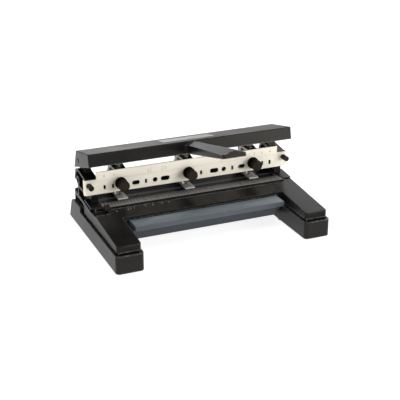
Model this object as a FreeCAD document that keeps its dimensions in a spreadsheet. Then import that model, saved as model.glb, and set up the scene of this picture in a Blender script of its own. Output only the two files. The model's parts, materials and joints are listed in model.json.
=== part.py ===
import FreeCAD, Part

import math
import os

import Sketcher

# Adjustable three-hole paper punch with a T-shaped lever.
#
# Frame: X to the right, Y from the open front of the base to the back, Z up from the table.
# The origin lies on the table, under the centre of the whole punch.
# Heights in the sheet are counted from the underside of the base pan, which the rubber feet
# hold "foot_drop" above the table. Distances along Y are counted from the front of the legs.
# Sizes of the lever that end in "_u" and "_v" are counted from its pivot, along its flat top
# and square to it; the lever stands open by "lever_rest_angle".

SIZES = (
    # alias, value in mm or degrees, what it is
    ("base_width", 332.4, "base pan, left to right"),
    ("base_depth", 229.0, "base pan, front to back"),
    ("origin_setback", 104.5, "origin behind the front of the legs"),
    ("foot_drop", 2.0, "rubber foot below the pan"),
    ("foot_radius", 8.0, "rubber foot disc"),
    ("foot_stem", 1.5, "stem of a foot up into its counterbore"),
    ("front_foot_back", 20.0, "front feet and screws, from the front"),
    ("front_foot_inset", 20.2, "front feet and screws, inside the pan's sides"),
    ("mid_foot_lead", 4.0, "middle feet and screws, behind the front of the deck"),
    ("mid_foot_inset", 31.7, "middle feet and screws, inside the pan's sides"),
    ("rear_foot_setback", 11.0, "rear feet and screws, ahead of the casting's back"),
    ("rear_foot_inset", 27.2, "rear feet and screws, inside the pan's sides"),
    ("pan_wall", 2.6, "wall of the base pan"),
    ("pan_floor", 2.5, "floor of the base pan"),
    ("pan_height", 27.0, "rim of the pan at the legs"),
    ("pan_leg_width", 41.2, "width of a leg of the pan"),
    ("pan_notch_setback", 25.0, "front of the pan between the legs, behind that of the deck"),
    ("cheek_rise", 9.0, "raised rim at the back above the rim at the legs"),
    ("cheek_run", 37.0, "start of the raised rim ahead of the casting's back"),
    ("shelf_depth", 20.5, "closed shelf along the back of the pan"),
    ("pan_corner_radius", 6.0, "front corners of the pan"),
    ("pan_rear_radius", 2.0, "leaning rear corners of the pan"),
    ("pan_crown_setback", 31.0, "rear end of the level rim, ahead of the pan's back"),
    ("pan_crown_radius", 12.0, "rounding at the rear end of the level rim"),
    ("pan_bend_setback", 14.5, "upper end of the leaning back, ahead of its foot"),
    ("pan_bend_drop", 4.5, "upper end of the leaning back below the raised rim"),
    ("pan_bend_radius", 6.0, "rounding at the upper end of the leaning back"),
    ("pan_back_wall", 3.0, "leaning back wall of the pan, measured level"),
    ("pan_edge_radius", 0.7, "rounding of the pan's upper edges"),
    ("pan_foot_radius", 1.0, "rounding of the pan's lower outer edges"),
    ("boss_radius", 6.8, "screw bosses of the pan"),
    ("boss_drop", 3.0, "top of the pan bosses, where the casting rests, below the rim"),
    ("cast_boss_radius", 6.0, "screw bosses of the casting"),
    ("bore_radius", 4.4, "counterbore for a screw head and a foot"),
    ("bore_depth", 6.0, "counterbore from the underside"),
    ("screw_radius", 2.0, "casting screws"),
    ("screw_clearance", 0.2, "play of a screw in its through hole"),
    ("screw_head_radius", 3.8, "head of a casting screw"),
    ("screw_head_height", 2.6, "head of a casting screw"),
    ("screw_reach", 10.0, "screw end above the pan bosses"),
    ("cast_inset", 3.2, "sides of the casting inside the pan's sides"),
    ("cast_front", 4.5, "front of the casting's legs"),
    ("cast_setback", 22.0, "back of the casting ahead of the pan's back"),
    ("cast_leg_gap", 2.5, "inner faces of the casting's legs outside those of the pan"),
    ("apron_depth", 28.3, "deck ahead of the side guide's groove"),
    ("cast_front_rise", 9.6, "top of the casting at its front, above its lower edge"),
    ("deck_slope", 5.14, "rise of the casting's top towards the back, degrees"),
    ("seam_gap", 3.0, "lower edge of the casting's visible wall above the pan's rim"),
    ("neck_inset", 2.0, "dark neck between pan and casting, behind the wall face"),
    ("neck_wall", 2.2, "thickness of the neck"),
    ("neck_overlap", 4.0, "neck up behind the casting wall"),
    ("cast_wall", 3.0, "walls of the casting"),
    ("cast_top", 3.5, "top of the casting over the legs"),
    ("cast_corner_radius", 5.0, "vertical corners of the casting"),
    ("edge_radius", 1.2, "rounding of the top edges"),
    ("platform_thickness", 4.9, "casting under the deck plate"),
    ("land_thickness", 5.5, "lands beside the deck, above their hollows"),
    ("land_margin", 1.5, "lands that carry the end frames, inside them"),
    ("land_hollow_setback", 16.0, "front of the hollows under the lands, behind that of the deck"),
    ("cavity_margin", 1.5, "hollow over the chip tray, inside the lands"),
    ("mouth_gap", 4.0, "opening for the chip tray, beside it"),
    ("recess_left_gap", 0.5, "left end of the recess, inside the end frame"),
    ("recess_right_gap", 3.5, "right end of the recess, outside the end frame's inner face"),
    ("land_lead", 0.9, "front of the lands ahead of the rail"),
    ("platform_rise", 7.4, "floor of the recess above the casting's front top"),
    ("chute_half", 7.5, "half the chip chute, front to back"),
    ("chute_margin", 2.0, "ends of the chip chute beyond the last slot of the deck plate"),
    ("window_length", 47.0, "side window in the casting, front to back"),
    ("window_setback", 5.0, "back of that window ahead of the casting's back"),
    ("window_drop", 2.6, "top of the side window below the recess"),
    ("window_radius", 8.0, "upper front corner of the side window"),
    ("ledge_drop", 5.8, "ledge outside the left end frame, below the casting's slope"),
    ("ledge_lap", 0.6, "land beside that ledge, outside the end frame's web"),
    ("groove_width", 6.4, "groove of the side guide"),
    ("groove_depth", 2.0, "floor of that groove below the recess"),
    ("groove_end_gap", 0.5, "right end of that groove, inside the recess"),
    ("notch_gap", 4.0, "inner end of the notch at the left, inside the recess"),
    ("notch_lead", 11.8, "front of that notch ahead of the groove"),
    ("notch_step", 2.8, "notch behind the groove"),
    ("deck_thickness", 3.5, "steel deck plate"),
    ("deck_setback", 17.0, "back of the deck plate ahead of the casting's back"),
    ("deck_play", 0.3, "deck plate in its recess"),
    ("deck_slot_radius", 5.0, "slot under each punch, half its width"),
    ("deck_groove_depth", 1.2, "groove across the deck plate"),
    ("deck_groove_lead", 4.1, "front of that groove ahead of the rail"),
    ("deck_groove_width", 2.2, "width of that groove"),
    ("deck_lead", 21.4, "front edge of the deck plate ahead of the rail"),
    ("deck_screw_side", 54.0, "screws of the deck plate, from the middle"),
    ("deck_screw_setback", 8.0, "screws of the deck plate ahead of its back"),
    ("deck_screw_radius", 1.5, "screws of the deck plate"),
    ("deck_screw_head", 3.0, "flat head of such a screw"),
    ("deck_screw_head_height", 1.6, "flat head of such a screw"),
    ("ruler_end_gap", 0.5, "ruler strip inside the ends of the recess"),
    ("ruler_setback", 0.2, "ruler strip behind the deck plate's front edge"),
    ("ruler_width", 16.0, "ruler strip, front to back"),
    ("ruler_thickness", 0.8, "ruler strip"),
    ("guide_offset", 0.5, "middle of the side guide outside the inner end of the notch"),
    ("guide_width", 8.0, "side guide, left to right"),
    ("guide_play", 0.25, "side guide in its groove"),
    ("guide_lap", 0.5, "tip of the side guide behind the deck plate's front edge"),
    ("guide_rise", 10.0, "top of the side guide above the floor of the recess"),
    ("guide_peak", 4.0, "roof of the side guide"),
    ("guide_brow", 2.5, "front overhang of the side guide"),
    ("guide_lift", 0.4, "side guide above the ruler strip and the deck"),
    ("tray_gap", 7.0, "chip tray inside the legs of the pan"),
    ("tray_lead", 5.0, "front of the chip tray at its underside, ahead of the deck"),
    ("tray_setback", 17.0, "back of the chip tray ahead of the casting's back"),
    ("tray_bottom", 12.0, "underside of the chip tray"),
    ("tray_headroom", 0.6, "top of the chip tray below the casting"),
    ("tray_wall", 2.2, "walls of the chip tray"),
    ("tray_edge_radius", 1.2, "rounding of the lip's top front edge"),
    ("lip_reach", 22.0, "front edge of the tray's lip ahead of its underside"),
    ("lip_height", 7.5, "lip of the tray, bottom to top"),
    ("lip_depth", 7.0, "start of the undercut behind the lip's front edge"),
    ("lip_cover_depth", 25.0, "closed top of the tray behind the lip's front edge"),
    ("tray_side_gap", 1.5, "tray between the ends of the pan's front opening"),
    ("runner_inset", 18.0, "runners under the tray, inside its sides"),
    ("runner_width", 4.0, "one runner"),
    ("runner_gap", 0.3, "tray above its runners"),
    ("rail_lead", 19.6, "front face of the rail ahead of the punch pins"),
    ("rail_thickness", 2.0, "rail sheet"),
    ("rail_rise", 17.4, "lower edge of the rail above the floor of the recess"),
    ("rail_height", 34.2, "rail between the end frames"),
    ("rail_end_height", 23.2, "rail in front of the end frames"),
    ("rail_overhang", 2.4, "ends of the rail outside the end frames"),
    ("rail_step_gap", 2.7, "step of the rail's top edge outside the end frames' inner faces"),
    ("rail_lip", 7.0, "ends of the rail turned back"),
    ("rail_bend", 2.6, "outer radius of those bends"),
    ("rail_hole_clearance", 0.3, "play of a rail screw in its hole"),
    ("hole_height", 9.5, "row of holes above the rail's lower edge"),
    ("knob_height", 13.0, "knob axes above the rail's lower edge"),
    ("stud_inset", 4.5, "rail screws inside the outer faces of the end frames"),
    ("stud_height", 15.0, "rail screws above the rail's lower edge"),
    ("stud_radius", 4.1, "head of a rail screw"),
    ("stud_length", 12.0, "head of a rail screw"),
    ("stud_collar", 4.0, "collar of that head against the rail"),
    ("stud_grip", 6.0, "front part of that head"),
    ("stud_neck", 3.3, "neck between them, radius"),
    ("stud_shank", 2.5, "thread of a rail screw, radius"),
    ("stud_reach", 9.0, "thread of a rail screw behind its head"),
    ("frame_width", 18.5, "end frame, left to right"),
    ("frame_overhang", 0.5, "outer face of an end frame outside the casting's side"),
    ("frame_outer_recess", 7.5, "recess in the outer face"),
    ("frame_inner_recess", 4.0, "recess in the inner face"),
    ("frame_front_height", 41.0, "top of the end frame at its front, above the floor of the recess"),
    ("frame_slope", 7.0, "slope of the end frame's top, degrees"),
    ("frame_crown_run", 12.0, "slope of the end frame's top ends ahead of the rear shoulder"),
    ("frame_back_lean", 11.5, "rear shoulder of the end frame ahead of its foot"),
    ("frame_shoulder_rise", 1.0, "rear shoulder of the end frame above its top at the front"),
    ("frame_setback", 3.5, "back of the end frame's foot ahead of the casting's back"),
    ("frame_rim", 3.6, "rims round the end frame's recesses"),
    ("frame_front_rim", 5.0, "front rim, which takes the rail screw"),
    ("frame_back_rim", 4.7, "rear rim, measured level"),
    ("frame_edge_radius", 0.8, "rounding of the end frame's outer edges"),
    ("frame_rib_drop", 0.6, "underside of the level rib below the rail"),
    ("frame_rib_width", 3.6, "level and upright ribs"),
    ("toe_lead", 18.5, "front of the end frame's toe ahead of the rail"),
    ("toe_inset", 3.5, "inner side of the toe outside the end frame's inner face"),
    ("toe_height", 1.7, "toe above the casting"),
    ("toe_run", 10.0, "toe behind the rail"),
    ("ring_setback", 11.0, "ring boss ahead of the rear shoulder"),
    ("ring_drop", 14.0, "ring boss below the end frame's top at the front"),
    ("ring_radius", 7.0, "ring boss"),
    ("ring_hole", 4.0, "hole of the ring boss"),
    ("frame_screw_inset", 7.5, "screws of an end frame outside its inner face"),
    ("frame_screw_pitch", 15.0, "front screw of an end frame ahead of the rear one"),
    ("frame_screw_setback", 8.5, "rear screw of an end frame ahead of the back of its foot"),
    ("frame_screw_seat_drop", 1.5, "seats of the screw heads under the lands, below the recess"),
    ("frame_screw_radius", 2.4, "screws of the end frames"),
    ("frame_screw_head", 4.5, "head of such a screw"),
    ("frame_screw_head_height", 3.0, "head of such a screw"),
    ("frame_screw_reach", 20.0, "length of such a screw"),
    ("ear_inset", 2.0, "inner face of the pivot ear outside that of the end frame"),
    ("ear_width", 11.0, "pivot ear, left to right"),
    ("ear_radius", 8.0, "pivot ear round the rod"),
    ("pivot_setback", 31.8, "lever pivot ahead of the casting's back"),
    ("pivot_rise", 19.2, "lever pivot above the end frame's top at the front"),
    ("ear_root_lead", 12.2, "front of the ear's root ahead of the pivot"),
    ("ear_root_trail", 12.8, "back of the ear's root behind the pivot"),
    ("ear_root_drop", 2.0, "lower end of the ear below the end frame's top at the front"),
    ("rod_radius", 4.0, "pivot rod"),
    ("rod_inset", 1.2, "rod ends inside the lever's end faces"),
    ("past", 1.0, "how far a cut runs beyond the face it opens"),
    ("running_fit", 0.05, "radial play of rods, pins and threads in their bores"),
    ("clip_radius", 6.2, "retaining rings on the rod"),
    ("clip_thickness", 1.2, "one retaining ring"),
    ("clip_gap", 0.1, "retaining ring beside its ear"),
    ("lever_rest_angle", 12.5, "lever at rest, front end up, degrees"),
    ("lever_end_inset", 0.4, "ends of the lever inside the outer faces of the end frames"),
    ("lever_front_u", 56.0, "front face of the crossbar ahead of the pivot"),
    ("lever_top_v", 14.0, "top of the crossbar above the pivot"),
    ("lever_rear_top_u", 7.2, "back of the crossbar's top"),
    ("lever_rear_bottom_u", 25.2, "back of the crossbar's lower edge"),
    ("lever_front_bottom_v", -5.0, "front lower edge of the crossbar"),
    ("lever_rear_bottom_v", -12.0, "rear lower edge of the crossbar"),
    ("lever_wall", 3.0, "wall of the lever"),
    ("lever_rear_wall", 4.2, "slanted rear wall of the lever, measured level"),
    ("lever_edge_radius", 1.5, "top edges of the crossbar"),
    ("lever_end_radius", 3.0, "vertical corners of the crossbar"),
    ("handle_end_u", 200.0, "front end of the handle"),
    ("handle_root_half", 12.0, "handle at the crossbar, half its width"),
    ("handle_end_half", 17.5, "handle at its end, half its width"),
    ("handle_ridge_v", 12.4, "crest of the handle at the crossbar"),
    ("handle_end_ridge_v", 13.6, "crest of the handle at its end"),
    ("handle_edge_v", 9.0, "side edges of the handle's top at the crossbar"),
    ("handle_end_edge_v", 8.2, "side edges of the handle's top at its end"),
    ("handle_end_bottom_v", 2.6, "underside of the handle at its end"),
    ("handle_wall", 2.5, "wall of the handle"),
    ("handle_tip_radius", 3.0, "vertical corners of the handle's end"),
    ("handle_root_radius", 5.0, "fillets between handle and crossbar"),
    ("label_half", 41.0, "name plate of the lever, half its length"),
    ("label_front_u", 38.0, "front edge of the plate ahead of the pivot"),
    ("label_rear_u", 10.0, "rear edge of the plate ahead of the pivot"),
    ("label_corner_radius", 2.0, "corners of the plate"),
    ("label_thickness", 0.5, "plate on the lever"),
    ("presser_arm", 17.0, "presser bar ahead of the pivot at rest"),
    ("presser_rise", 4.0, "presser bar above the pivot at rest"),
    ("presser_radius", 4.0, "presser bar"),
    ("presser_gap", 0.3, "presser bar above the pin heads"),
    ("web_thickness", 3.0, "webs that hold the presser bar"),
    ("web_half_width", 11.0, "webs, half their width at the top"),
    ("web_tip", 6.0, "webs round the presser bar, from its middle"),
    ("web_inner_place", 54.0, "inner webs, from the middle"),
    ("web_end_gap", 10.0, "outer webs inside the end frames"),
    ("head_pitch", 108.0, "spacing of the three punch heads"),
    ("head_half", 9.2, "punch head, half its width"),
    ("head_gap", 0.3, "punch head behind the rail"),
    ("head_drop", 12.6, "top of a punch head at its front, below the pivot"),
    ("head_shoulder_rise", 1.6, "underside of a head's front part above the rail's lower edge"),
    ("nose_lead", 7.0, "front of the lower part of a head, ahead of its pin"),
    ("head_rise", 6.6, "rise of a head's top towards the back"),
    ("head_edge_radius", 0.8, "rounding of a head's top edges"),
    ("head_back_wall", 8.0, "block behind the throat"),
    ("hole_margin", 12.0, "paper stop inside the throat, behind the pin"),
    ("throat_height", 4.6, "throat above the die foot"),
    ("die_thickness", 2.0, "die foot"),
    ("die_left", 7.3, "front of the die foot, to the left of the pin"),
    ("die_right", 8.0, "front of the die foot, to the right of the pin"),
    ("die_lead", 0.4, "front edge of the die foot ahead of the rail"),
    ("die_tail", 6.0, "die foot behind the block"),
    ("bracket_thickness", 1.5, "side plate of the bracket"),
    ("bracket_lead", 8.0, "front of the side plate ahead of the block's lower part"),
    ("bracket_rise", 3.7, "top of the side plate above the front top of the block"),
    ("bracket_top_depth", 24.0, "side plate at its top, front to back"),
    ("bracket_slant", 21.3, "slanted back of the side plate, bottom to top"),
    ("bracket_gap", 5.5, "lower edge of the side plate above the die foot"),
    ("bracket_sill", 4.0, "strip along the side plate's lower edge"),
    ("bracket_leg_gap", 0.5, "leg of the side plate behind the paper stop"),
    ("bracket_rim", 2.6, "strips along the side plate's top and front"),
    ("bracket_corner_radius", 1.2, "corners of the side plate"),
    ("bracket_leg", 9.0, "strip along the side plate's back"),
    ("pin_arm", 17.2, "punch pins ahead of the lever pivot"),
    ("pin_radius", 3.5, "punch pin"),
    ("pin_lift", 0.4, "pin tip above the throat at rest"),
    ("cap_radius", 6.5, "head of a punch pin"),
    ("cap_height", 6.0, "head of a punch pin"),
    ("pocket_radius", 7.0, "spring pocket of a head"),
    ("pocket_floor_rise", 4.0, "floor of the spring pocket above the head's shoulder"),
    ("spring_radius", 5.3, "middle of the spring's coil"),
    ("wire_radius", 0.65, "spring wire"),
    ("spring_turns", 6.5, "turns of the spring"),
    ("spring_seat_gap", 0.2, "spring from its seats"),
    ("clamp_radius", 2.9, "clamp screw through the rail"),
    ("clamp_depth", 8.5, "clamp screw inside the head"),
    ("clamp_grip", 12.0, "clamp screw inside its knob"),
    ("blind_end", 0.8, "blind holes beyond the end of their screw or rod"),
    ("clamp_slot_radius", 3.3, "slot of the rail for a clamp screw, half its width"),
    ("clamp_offset", 2.6, "clamp screw to the left of its pin"),
    ("clamp_travel", 4.0, "sideways adjustment of a head each way"),
    ("knob_length", 18.0, "clamp knob"),
    ("knob_back_radius", 8.9, "clamp knob against the rail"),
    ("knob_waist_radius", 6.4, "waist of the knob"),
    ("knob_front_radius", 8.3, "clamp knob at its front"),
    ("knob_collar", 4.0, "plain collar of the knob"),
    ("knob_grip", 8.5, "fluted front part of the knob"),
    ("knob_chamfer", 0.8, "front edge of the knob"),
    ("knob_flute_radius", 0.5, "flutes round the knob"),
)

# Round and oblong holes of the rail, the same on both sides of the middle: place, half the
# straight part and radius.
RAIL_HOLES = (
    ("oblong_near", 40.2, 3.5, 3.7),
    ("round_hole", 56.4, 0.0, 3.8),
    ("oblong_far", 86.8, 2.7, 3.4),
)

# Small upright slits of the rail, the same on both sides of the middle: place, half width and
# half height.
RAIL_SLITS = (
    ("slit_near", 18.6, 1.85, 3.35),
    ("slit_middle", 70.9, 1.85, 3.35),
    ("slit_far", 122.3, 1.85, 3.35),
    ("slit_end", 135.3, 1.85, 3.35),
)

KNOB_FLUTES = 24

# Points closer than this, in mm, count as the same when edges are picked.
TOUCH = 1e-4


class Dim:
    """A size worked out from the sheet: its present value and the expression that gives it."""

    def __init__(self, value, text):
        self.value = float(value)
        self.text = text

    @staticmethod
    def of(other):
        """Return other as a Dim."""
        if isinstance(other, Dim):
            return other
        return Dim(other, repr(float(other)))

    def join(self, other, sign, value):
        """Return the Dim of this, a sign and another."""
        return Dim(value, "(%s %s %s)" % (self.text, sign, Dim.of(other).text))

    def __add__(self, other):
        return self.join(other, "+", self.value + Dim.of(other).value)

    def __sub__(self, other):
        return self.join(other, "-", self.value - Dim.of(other).value)

    def __mul__(self, other):
        return self.join(other, "*", self.value * Dim.of(other).value)

    def __truediv__(self, other):
        return self.join(other, "/", self.value / Dim.of(other).value)

    def __radd__(self, other):
        return Dim.of(other) + self

    def __rsub__(self, other):
        return Dim.of(other) - self

    def __rmul__(self, other):
        return Dim.of(other) * self

    def __neg__(self):
        return Dim(-self.value, "(-1 * %s)" % self.text)


def sine(angle):
    """Return the sine of a Dim in degrees."""
    return Dim(math.sin(math.radians(angle.value)), "sin(%s)" % angle.text)


def cosine(angle):
    """Return the cosine of a Dim in degrees."""
    return Dim(math.cos(math.radians(angle.value)), "cos(%s)" % angle.text)


def tangent(angle):
    """Return the tangent of a Dim in degrees."""
    return Dim(math.tan(math.radians(angle.value)), "tan(%s)" % angle.text)


class Sizes:
    """The sheet of driving sizes; each alias is also an attribute of this object."""

    def __init__(self, doc, rows, holes, slits):
        self.sheet = doc.addObject("Spreadsheet::Sheet", "Sizes")
        self.row = 0
        for alias, value, note in rows:
            self.put(alias, value, note)
        for name, place, half, radius in holes:
            self.put(name + "_place", place, "hole of the rail, from the middle")
            self.put(name + "_half", half, "half the straight part of that hole")
            self.put(name + "_radius", radius, "radius of that hole")
        for name, place, width, height in slits:
            self.put(name + "_place", place, "slit of the rail, from the middle")
            self.put(name + "_width", width, "half the width of that slit")
            self.put(name + "_height", height, "half the height of that slit")
        self.derive()
        doc.recompute()

    def put(self, alias, value, note):
        """Write one size into the sheet."""
        self.row += 1
        self.sheet.set("A%d" % self.row, note)
        self.sheet.set("B%d" % self.row, str(value))
        self.sheet.setAlias("B%d" % self.row, alias)
        setattr(self, alias, Dim(value, "Sizes.%s" % alias))

    def keep(self, alias, size):
        """Write one size that follows from others into the sheet, as a formula."""
        self.row += 1
        self.sheet.set("A%d" % self.row, alias.replace("_", " "))
        self.sheet.set("B%d" % self.row, "=" + size.text.replace("Sizes.", ""))
        self.sheet.setAlias("B%d" % self.row, alias)
        setattr(self, alias, Dim(size.value, "Sizes.%s" % alias))

    def derive(self):
        """Work out the places that follow from the driving sizes."""
        self.derive_heights()
        self.derive_depths()
        self.derive_widths()

    def derive_heights(self):
        """Work out heights, from the rim of the pan up to the lever."""
        self.keep("boss_height", self.pan_height - self.boss_drop)
        self.keep("cheek_height", self.pan_height + self.cheek_rise)
        self.keep("pan_bend_height", self.cheek_height - self.pan_bend_drop)
        self.keep("seam_height", self.pan_height + self.seam_gap)
        self.keep("cast_front_height", self.seam_height + self.cast_front_rise)
        self.keep("platform_height", self.cast_front_height + self.platform_rise)
        self.keep("ceiling_height", self.platform_height - self.platform_thickness)
        self.keep("groove_floor", self.platform_height - self.groove_depth)
        self.keep("window_top", self.platform_height - self.window_drop)
        self.keep("frame_screw_seat", self.platform_height - self.frame_screw_seat_drop)
        self.keep("guide_height", self.platform_height + self.guide_rise)
        self.keep("tray_top", self.ceiling_height - self.tray_headroom)
        self.keep("lip_bottom", self.tray_top - self.lip_height)
        self.keep("die_bottom", self.platform_height + self.deck_thickness)
        self.keep("die_top", self.die_bottom + self.die_thickness)
        self.keep("throat_top", self.die_top + self.throat_height)
        self.keep("rail_bottom", self.platform_height + self.rail_rise)
        self.keep("head_shoulder", self.rail_bottom + self.head_shoulder_rise)
        self.keep("pocket_floor", self.head_shoulder + self.pocket_floor_rise)
        self.keep("frame_rib_bottom", self.rail_bottom - self.frame_rib_drop)
        self.keep("frame_front_top", self.platform_height + self.frame_front_height)
        self.keep("frame_shoulder_height", self.frame_front_top + self.frame_shoulder_rise)
        self.keep("ring_height", self.frame_front_top - self.ring_drop)
        self.keep("ear_root", self.frame_front_top - self.ear_root_drop)
        self.keep("pivot_height", self.frame_front_top + self.pivot_rise)
        self.keep("head_front_top", self.pivot_height - self.head_drop)
        self.keep("bracket_bottom", self.die_top + self.bracket_gap)
        self.keep("bracket_top", self.head_front_top + self.bracket_rise)
        self.keep("bracket_bend_height", self.bracket_top - self.bracket_slant)
        self.keep("pin_tip", self.throat_top + self.pin_lift)
        self.keep("pin_top", self.pivot_height + self.presser_rise - self.presser_radius - self.presser_gap)

    def derive_depths(self):
        """Work out distances from the front of the legs, starting at the back of the pan."""
        self.keep("pan_crown", self.base_depth - self.pan_crown_setback)
        self.keep("pan_bend", self.base_depth - self.pan_bend_setback)
        self.keep("cast_rear", self.base_depth - self.cast_setback)
        self.keep("rear_foot_back", self.cast_rear - self.rear_foot_setback)
        self.keep("cheek_front", self.cast_rear - self.cheek_run)
        self.keep("window_rear", self.cast_rear - self.window_setback)
        self.keep("window_front", self.window_rear - self.window_length)
        self.keep("deck_rear", self.cast_rear - self.deck_setback)
        self.keep("deck_screw_back", self.deck_rear - self.deck_screw_setback)
        self.keep("frame_foot_rear", self.cast_rear - self.frame_setback)
        self.keep("frame_screw_rear", self.frame_foot_rear - self.frame_screw_setback)
        self.keep("frame_screw_front", self.frame_screw_rear - self.frame_screw_pitch)
        self.keep("frame_shoulder", self.frame_foot_rear - self.frame_back_lean)
        self.keep("frame_top_rear", self.frame_shoulder - self.frame_crown_run)
        self.keep("ring_place", self.frame_shoulder - self.ring_setback)
        self.keep("pivot_back", self.cast_rear - self.pivot_setback)
        self.keep("ear_front", self.pivot_back - self.ear_root_lead)
        self.keep("ear_rear", self.pivot_back + self.ear_root_trail)
        self.keep("pin_back", self.pivot_back - self.pin_arm)
        self.keep("chute_front", self.pin_back - self.chute_half)
        self.keep("chute_rear", self.pin_back + self.chute_half)
        self.keep("throat_back", self.pin_back + self.hole_margin)
        self.keep("head_rear", self.throat_back + self.head_back_wall)
        self.keep("head_nose", self.pin_back - self.nose_lead)
        self.keep("bracket_front", self.head_nose - self.bracket_lead)
        self.keep("bracket_top_rear", self.bracket_front + self.bracket_top_depth)
        self.keep("rail_front", self.pin_back - self.rail_lead)
        self.keep("rail_back", self.rail_front + self.rail_thickness)
        self.keep("die_front", self.rail_front - self.die_lead)
        self.keep("die_rear", self.head_rear + self.die_tail)
        self.keep("recess_step", self.rail_front - self.land_lead)
        self.keep("toe_front", self.rail_front - self.toe_lead)
        self.keep("toe_rear", self.rail_back + self.toe_run)
        self.keep("deck_groove_front", self.rail_front - self.deck_groove_lead)
        self.keep("deck_front", self.rail_front - self.deck_lead)
        self.keep("guide_reach", self.deck_front + self.guide_lap)
        self.keep("recess_front", self.deck_front - self.deck_play - self.groove_width)
        self.keep("notch_front", self.recess_front - self.notch_lead)
        self.keep("notch_rear", self.recess_front + self.groove_width + self.notch_step)
        self.keep("recess_rear", self.deck_rear + self.deck_play)
        self.keep("cast_notch_depth", self.recess_front - self.apron_depth)
        self.keep("land_hollow_front", self.cast_notch_depth + self.land_hollow_setback)
        self.keep("leg_hollow_rear", self.land_hollow_front - self.cast_wall)
        self.keep("mid_foot_back", self.cast_notch_depth + self.mid_foot_lead)
        self.keep("pan_notch_depth", self.cast_notch_depth + self.pan_notch_setback)
        self.keep("tray_front", self.cast_notch_depth - self.tray_lead)
        self.keep("tray_rear", self.cast_rear - self.tray_setback)
        self.keep("lip_front", self.tray_front - self.lip_reach)
        self.keep("lip_back", self.lip_front + self.lip_depth)
        self.keep("lip_cover", self.lip_front + self.lip_cover_depth)

    def derive_widths(self):
        """Work out distances from the middle, starting at the sides of the pan."""
        self.keep("base_half", self.base_width / 2)
        self.keep("pan_notch_half", self.base_half - self.pan_leg_width)
        self.keep("front_foot_side", self.base_half - self.front_foot_inset)
        self.keep("mid_foot_side", self.base_half - self.mid_foot_inset)
        self.keep("rear_foot_side", self.base_half - self.rear_foot_inset)
        self.keep("cast_half", self.base_half - self.cast_inset)
        self.keep("cast_notch_half", self.pan_notch_half + self.cast_leg_gap)
        self.keep("frame_outside", self.cast_half + self.frame_overhang)
        self.keep("frame_inside", self.frame_outside - self.frame_width)
        self.keep("frame_web", self.frame_outside - self.frame_outer_recess)
        self.keep("ledge_inside", self.frame_web + self.ledge_lap)
        self.keep("toe_inside", self.frame_inside + self.toe_inset)
        self.keep("frame_screw_side", self.frame_inside + self.frame_screw_inset)
        self.keep("ear_inside", self.frame_inside + self.ear_inset)
        self.keep("ear_outside", self.ear_inside + self.ear_width)
        self.keep("land_inside", self.frame_inside - self.land_margin)
        self.keep("cavity_inside", self.land_inside - self.cavity_margin)
        self.keep("recess_left", self.frame_inside - self.recess_left_gap)
        self.keep("recess_right", self.frame_inside + self.recess_right_gap)
        self.keep("groove_end", self.recess_right - self.groove_end_gap)
        self.keep("notch_inside", self.recess_left - self.notch_gap)
        self.keep("guide_place", self.notch_inside + self.guide_offset)
        self.keep("ruler_left", self.recess_left - self.ruler_end_gap)
        self.keep("ruler_right", self.recess_right - self.ruler_end_gap)
        self.keep("rail_half_length", self.frame_outside + self.rail_overhang)
        self.keep("rail_step", self.frame_inside + self.rail_step_gap)
        self.keep("stud_place", self.frame_outside - self.stud_inset)
        self.keep("lever_half_length", self.frame_outside - self.lever_end_inset)
        self.keep("web_outer_place", self.frame_inside - self.web_end_gap)
        self.keep("presser_half", self.web_outer_place + self.web_thickness / 2)
        self.keep("tray_half_width", self.pan_notch_half - self.tray_gap)
        self.keep("mouth_half", self.tray_half_width + self.mouth_gap)
        self.keep("runner_place", self.tray_half_width - self.runner_inset)
        last_slot = self.head_pitch + self.clamp_travel + self.deck_slot_radius
        self.keep("chute_side", last_slot + self.chute_margin)


class Outline:
    """Closed outlines of one sketch: polygons, circles and straight slots."""

    def __init__(self):
        self.polygons = []
        self.circles = []
        self.slots = []

    def polygon(self, *points):
        """Add a closed polygon through points of two Dims each."""
        self.polygons.append([(Dim.of(p), Dim.of(q)) for p, q in points])
        return self

    def box(self, low, high):
        """Add a rectangle between two corners."""
        return self.polygon(low, (high[0], low[1]), high, (low[0], high[1]))

    def circle(self, centre, radius):
        """Add a circle."""
        self.circles.append((Dim.of(centre[0]), Dim.of(centre[1]), Dim.of(radius)))
        return self

    def slot(self, centre, half, radius):
        """Add a level slot; half is half its straight part."""
        self.slots.append((Dim.of(centre[0]), Dim.of(centre[1]), Dim.of(half), Dim.of(radius)))
        return self


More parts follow.
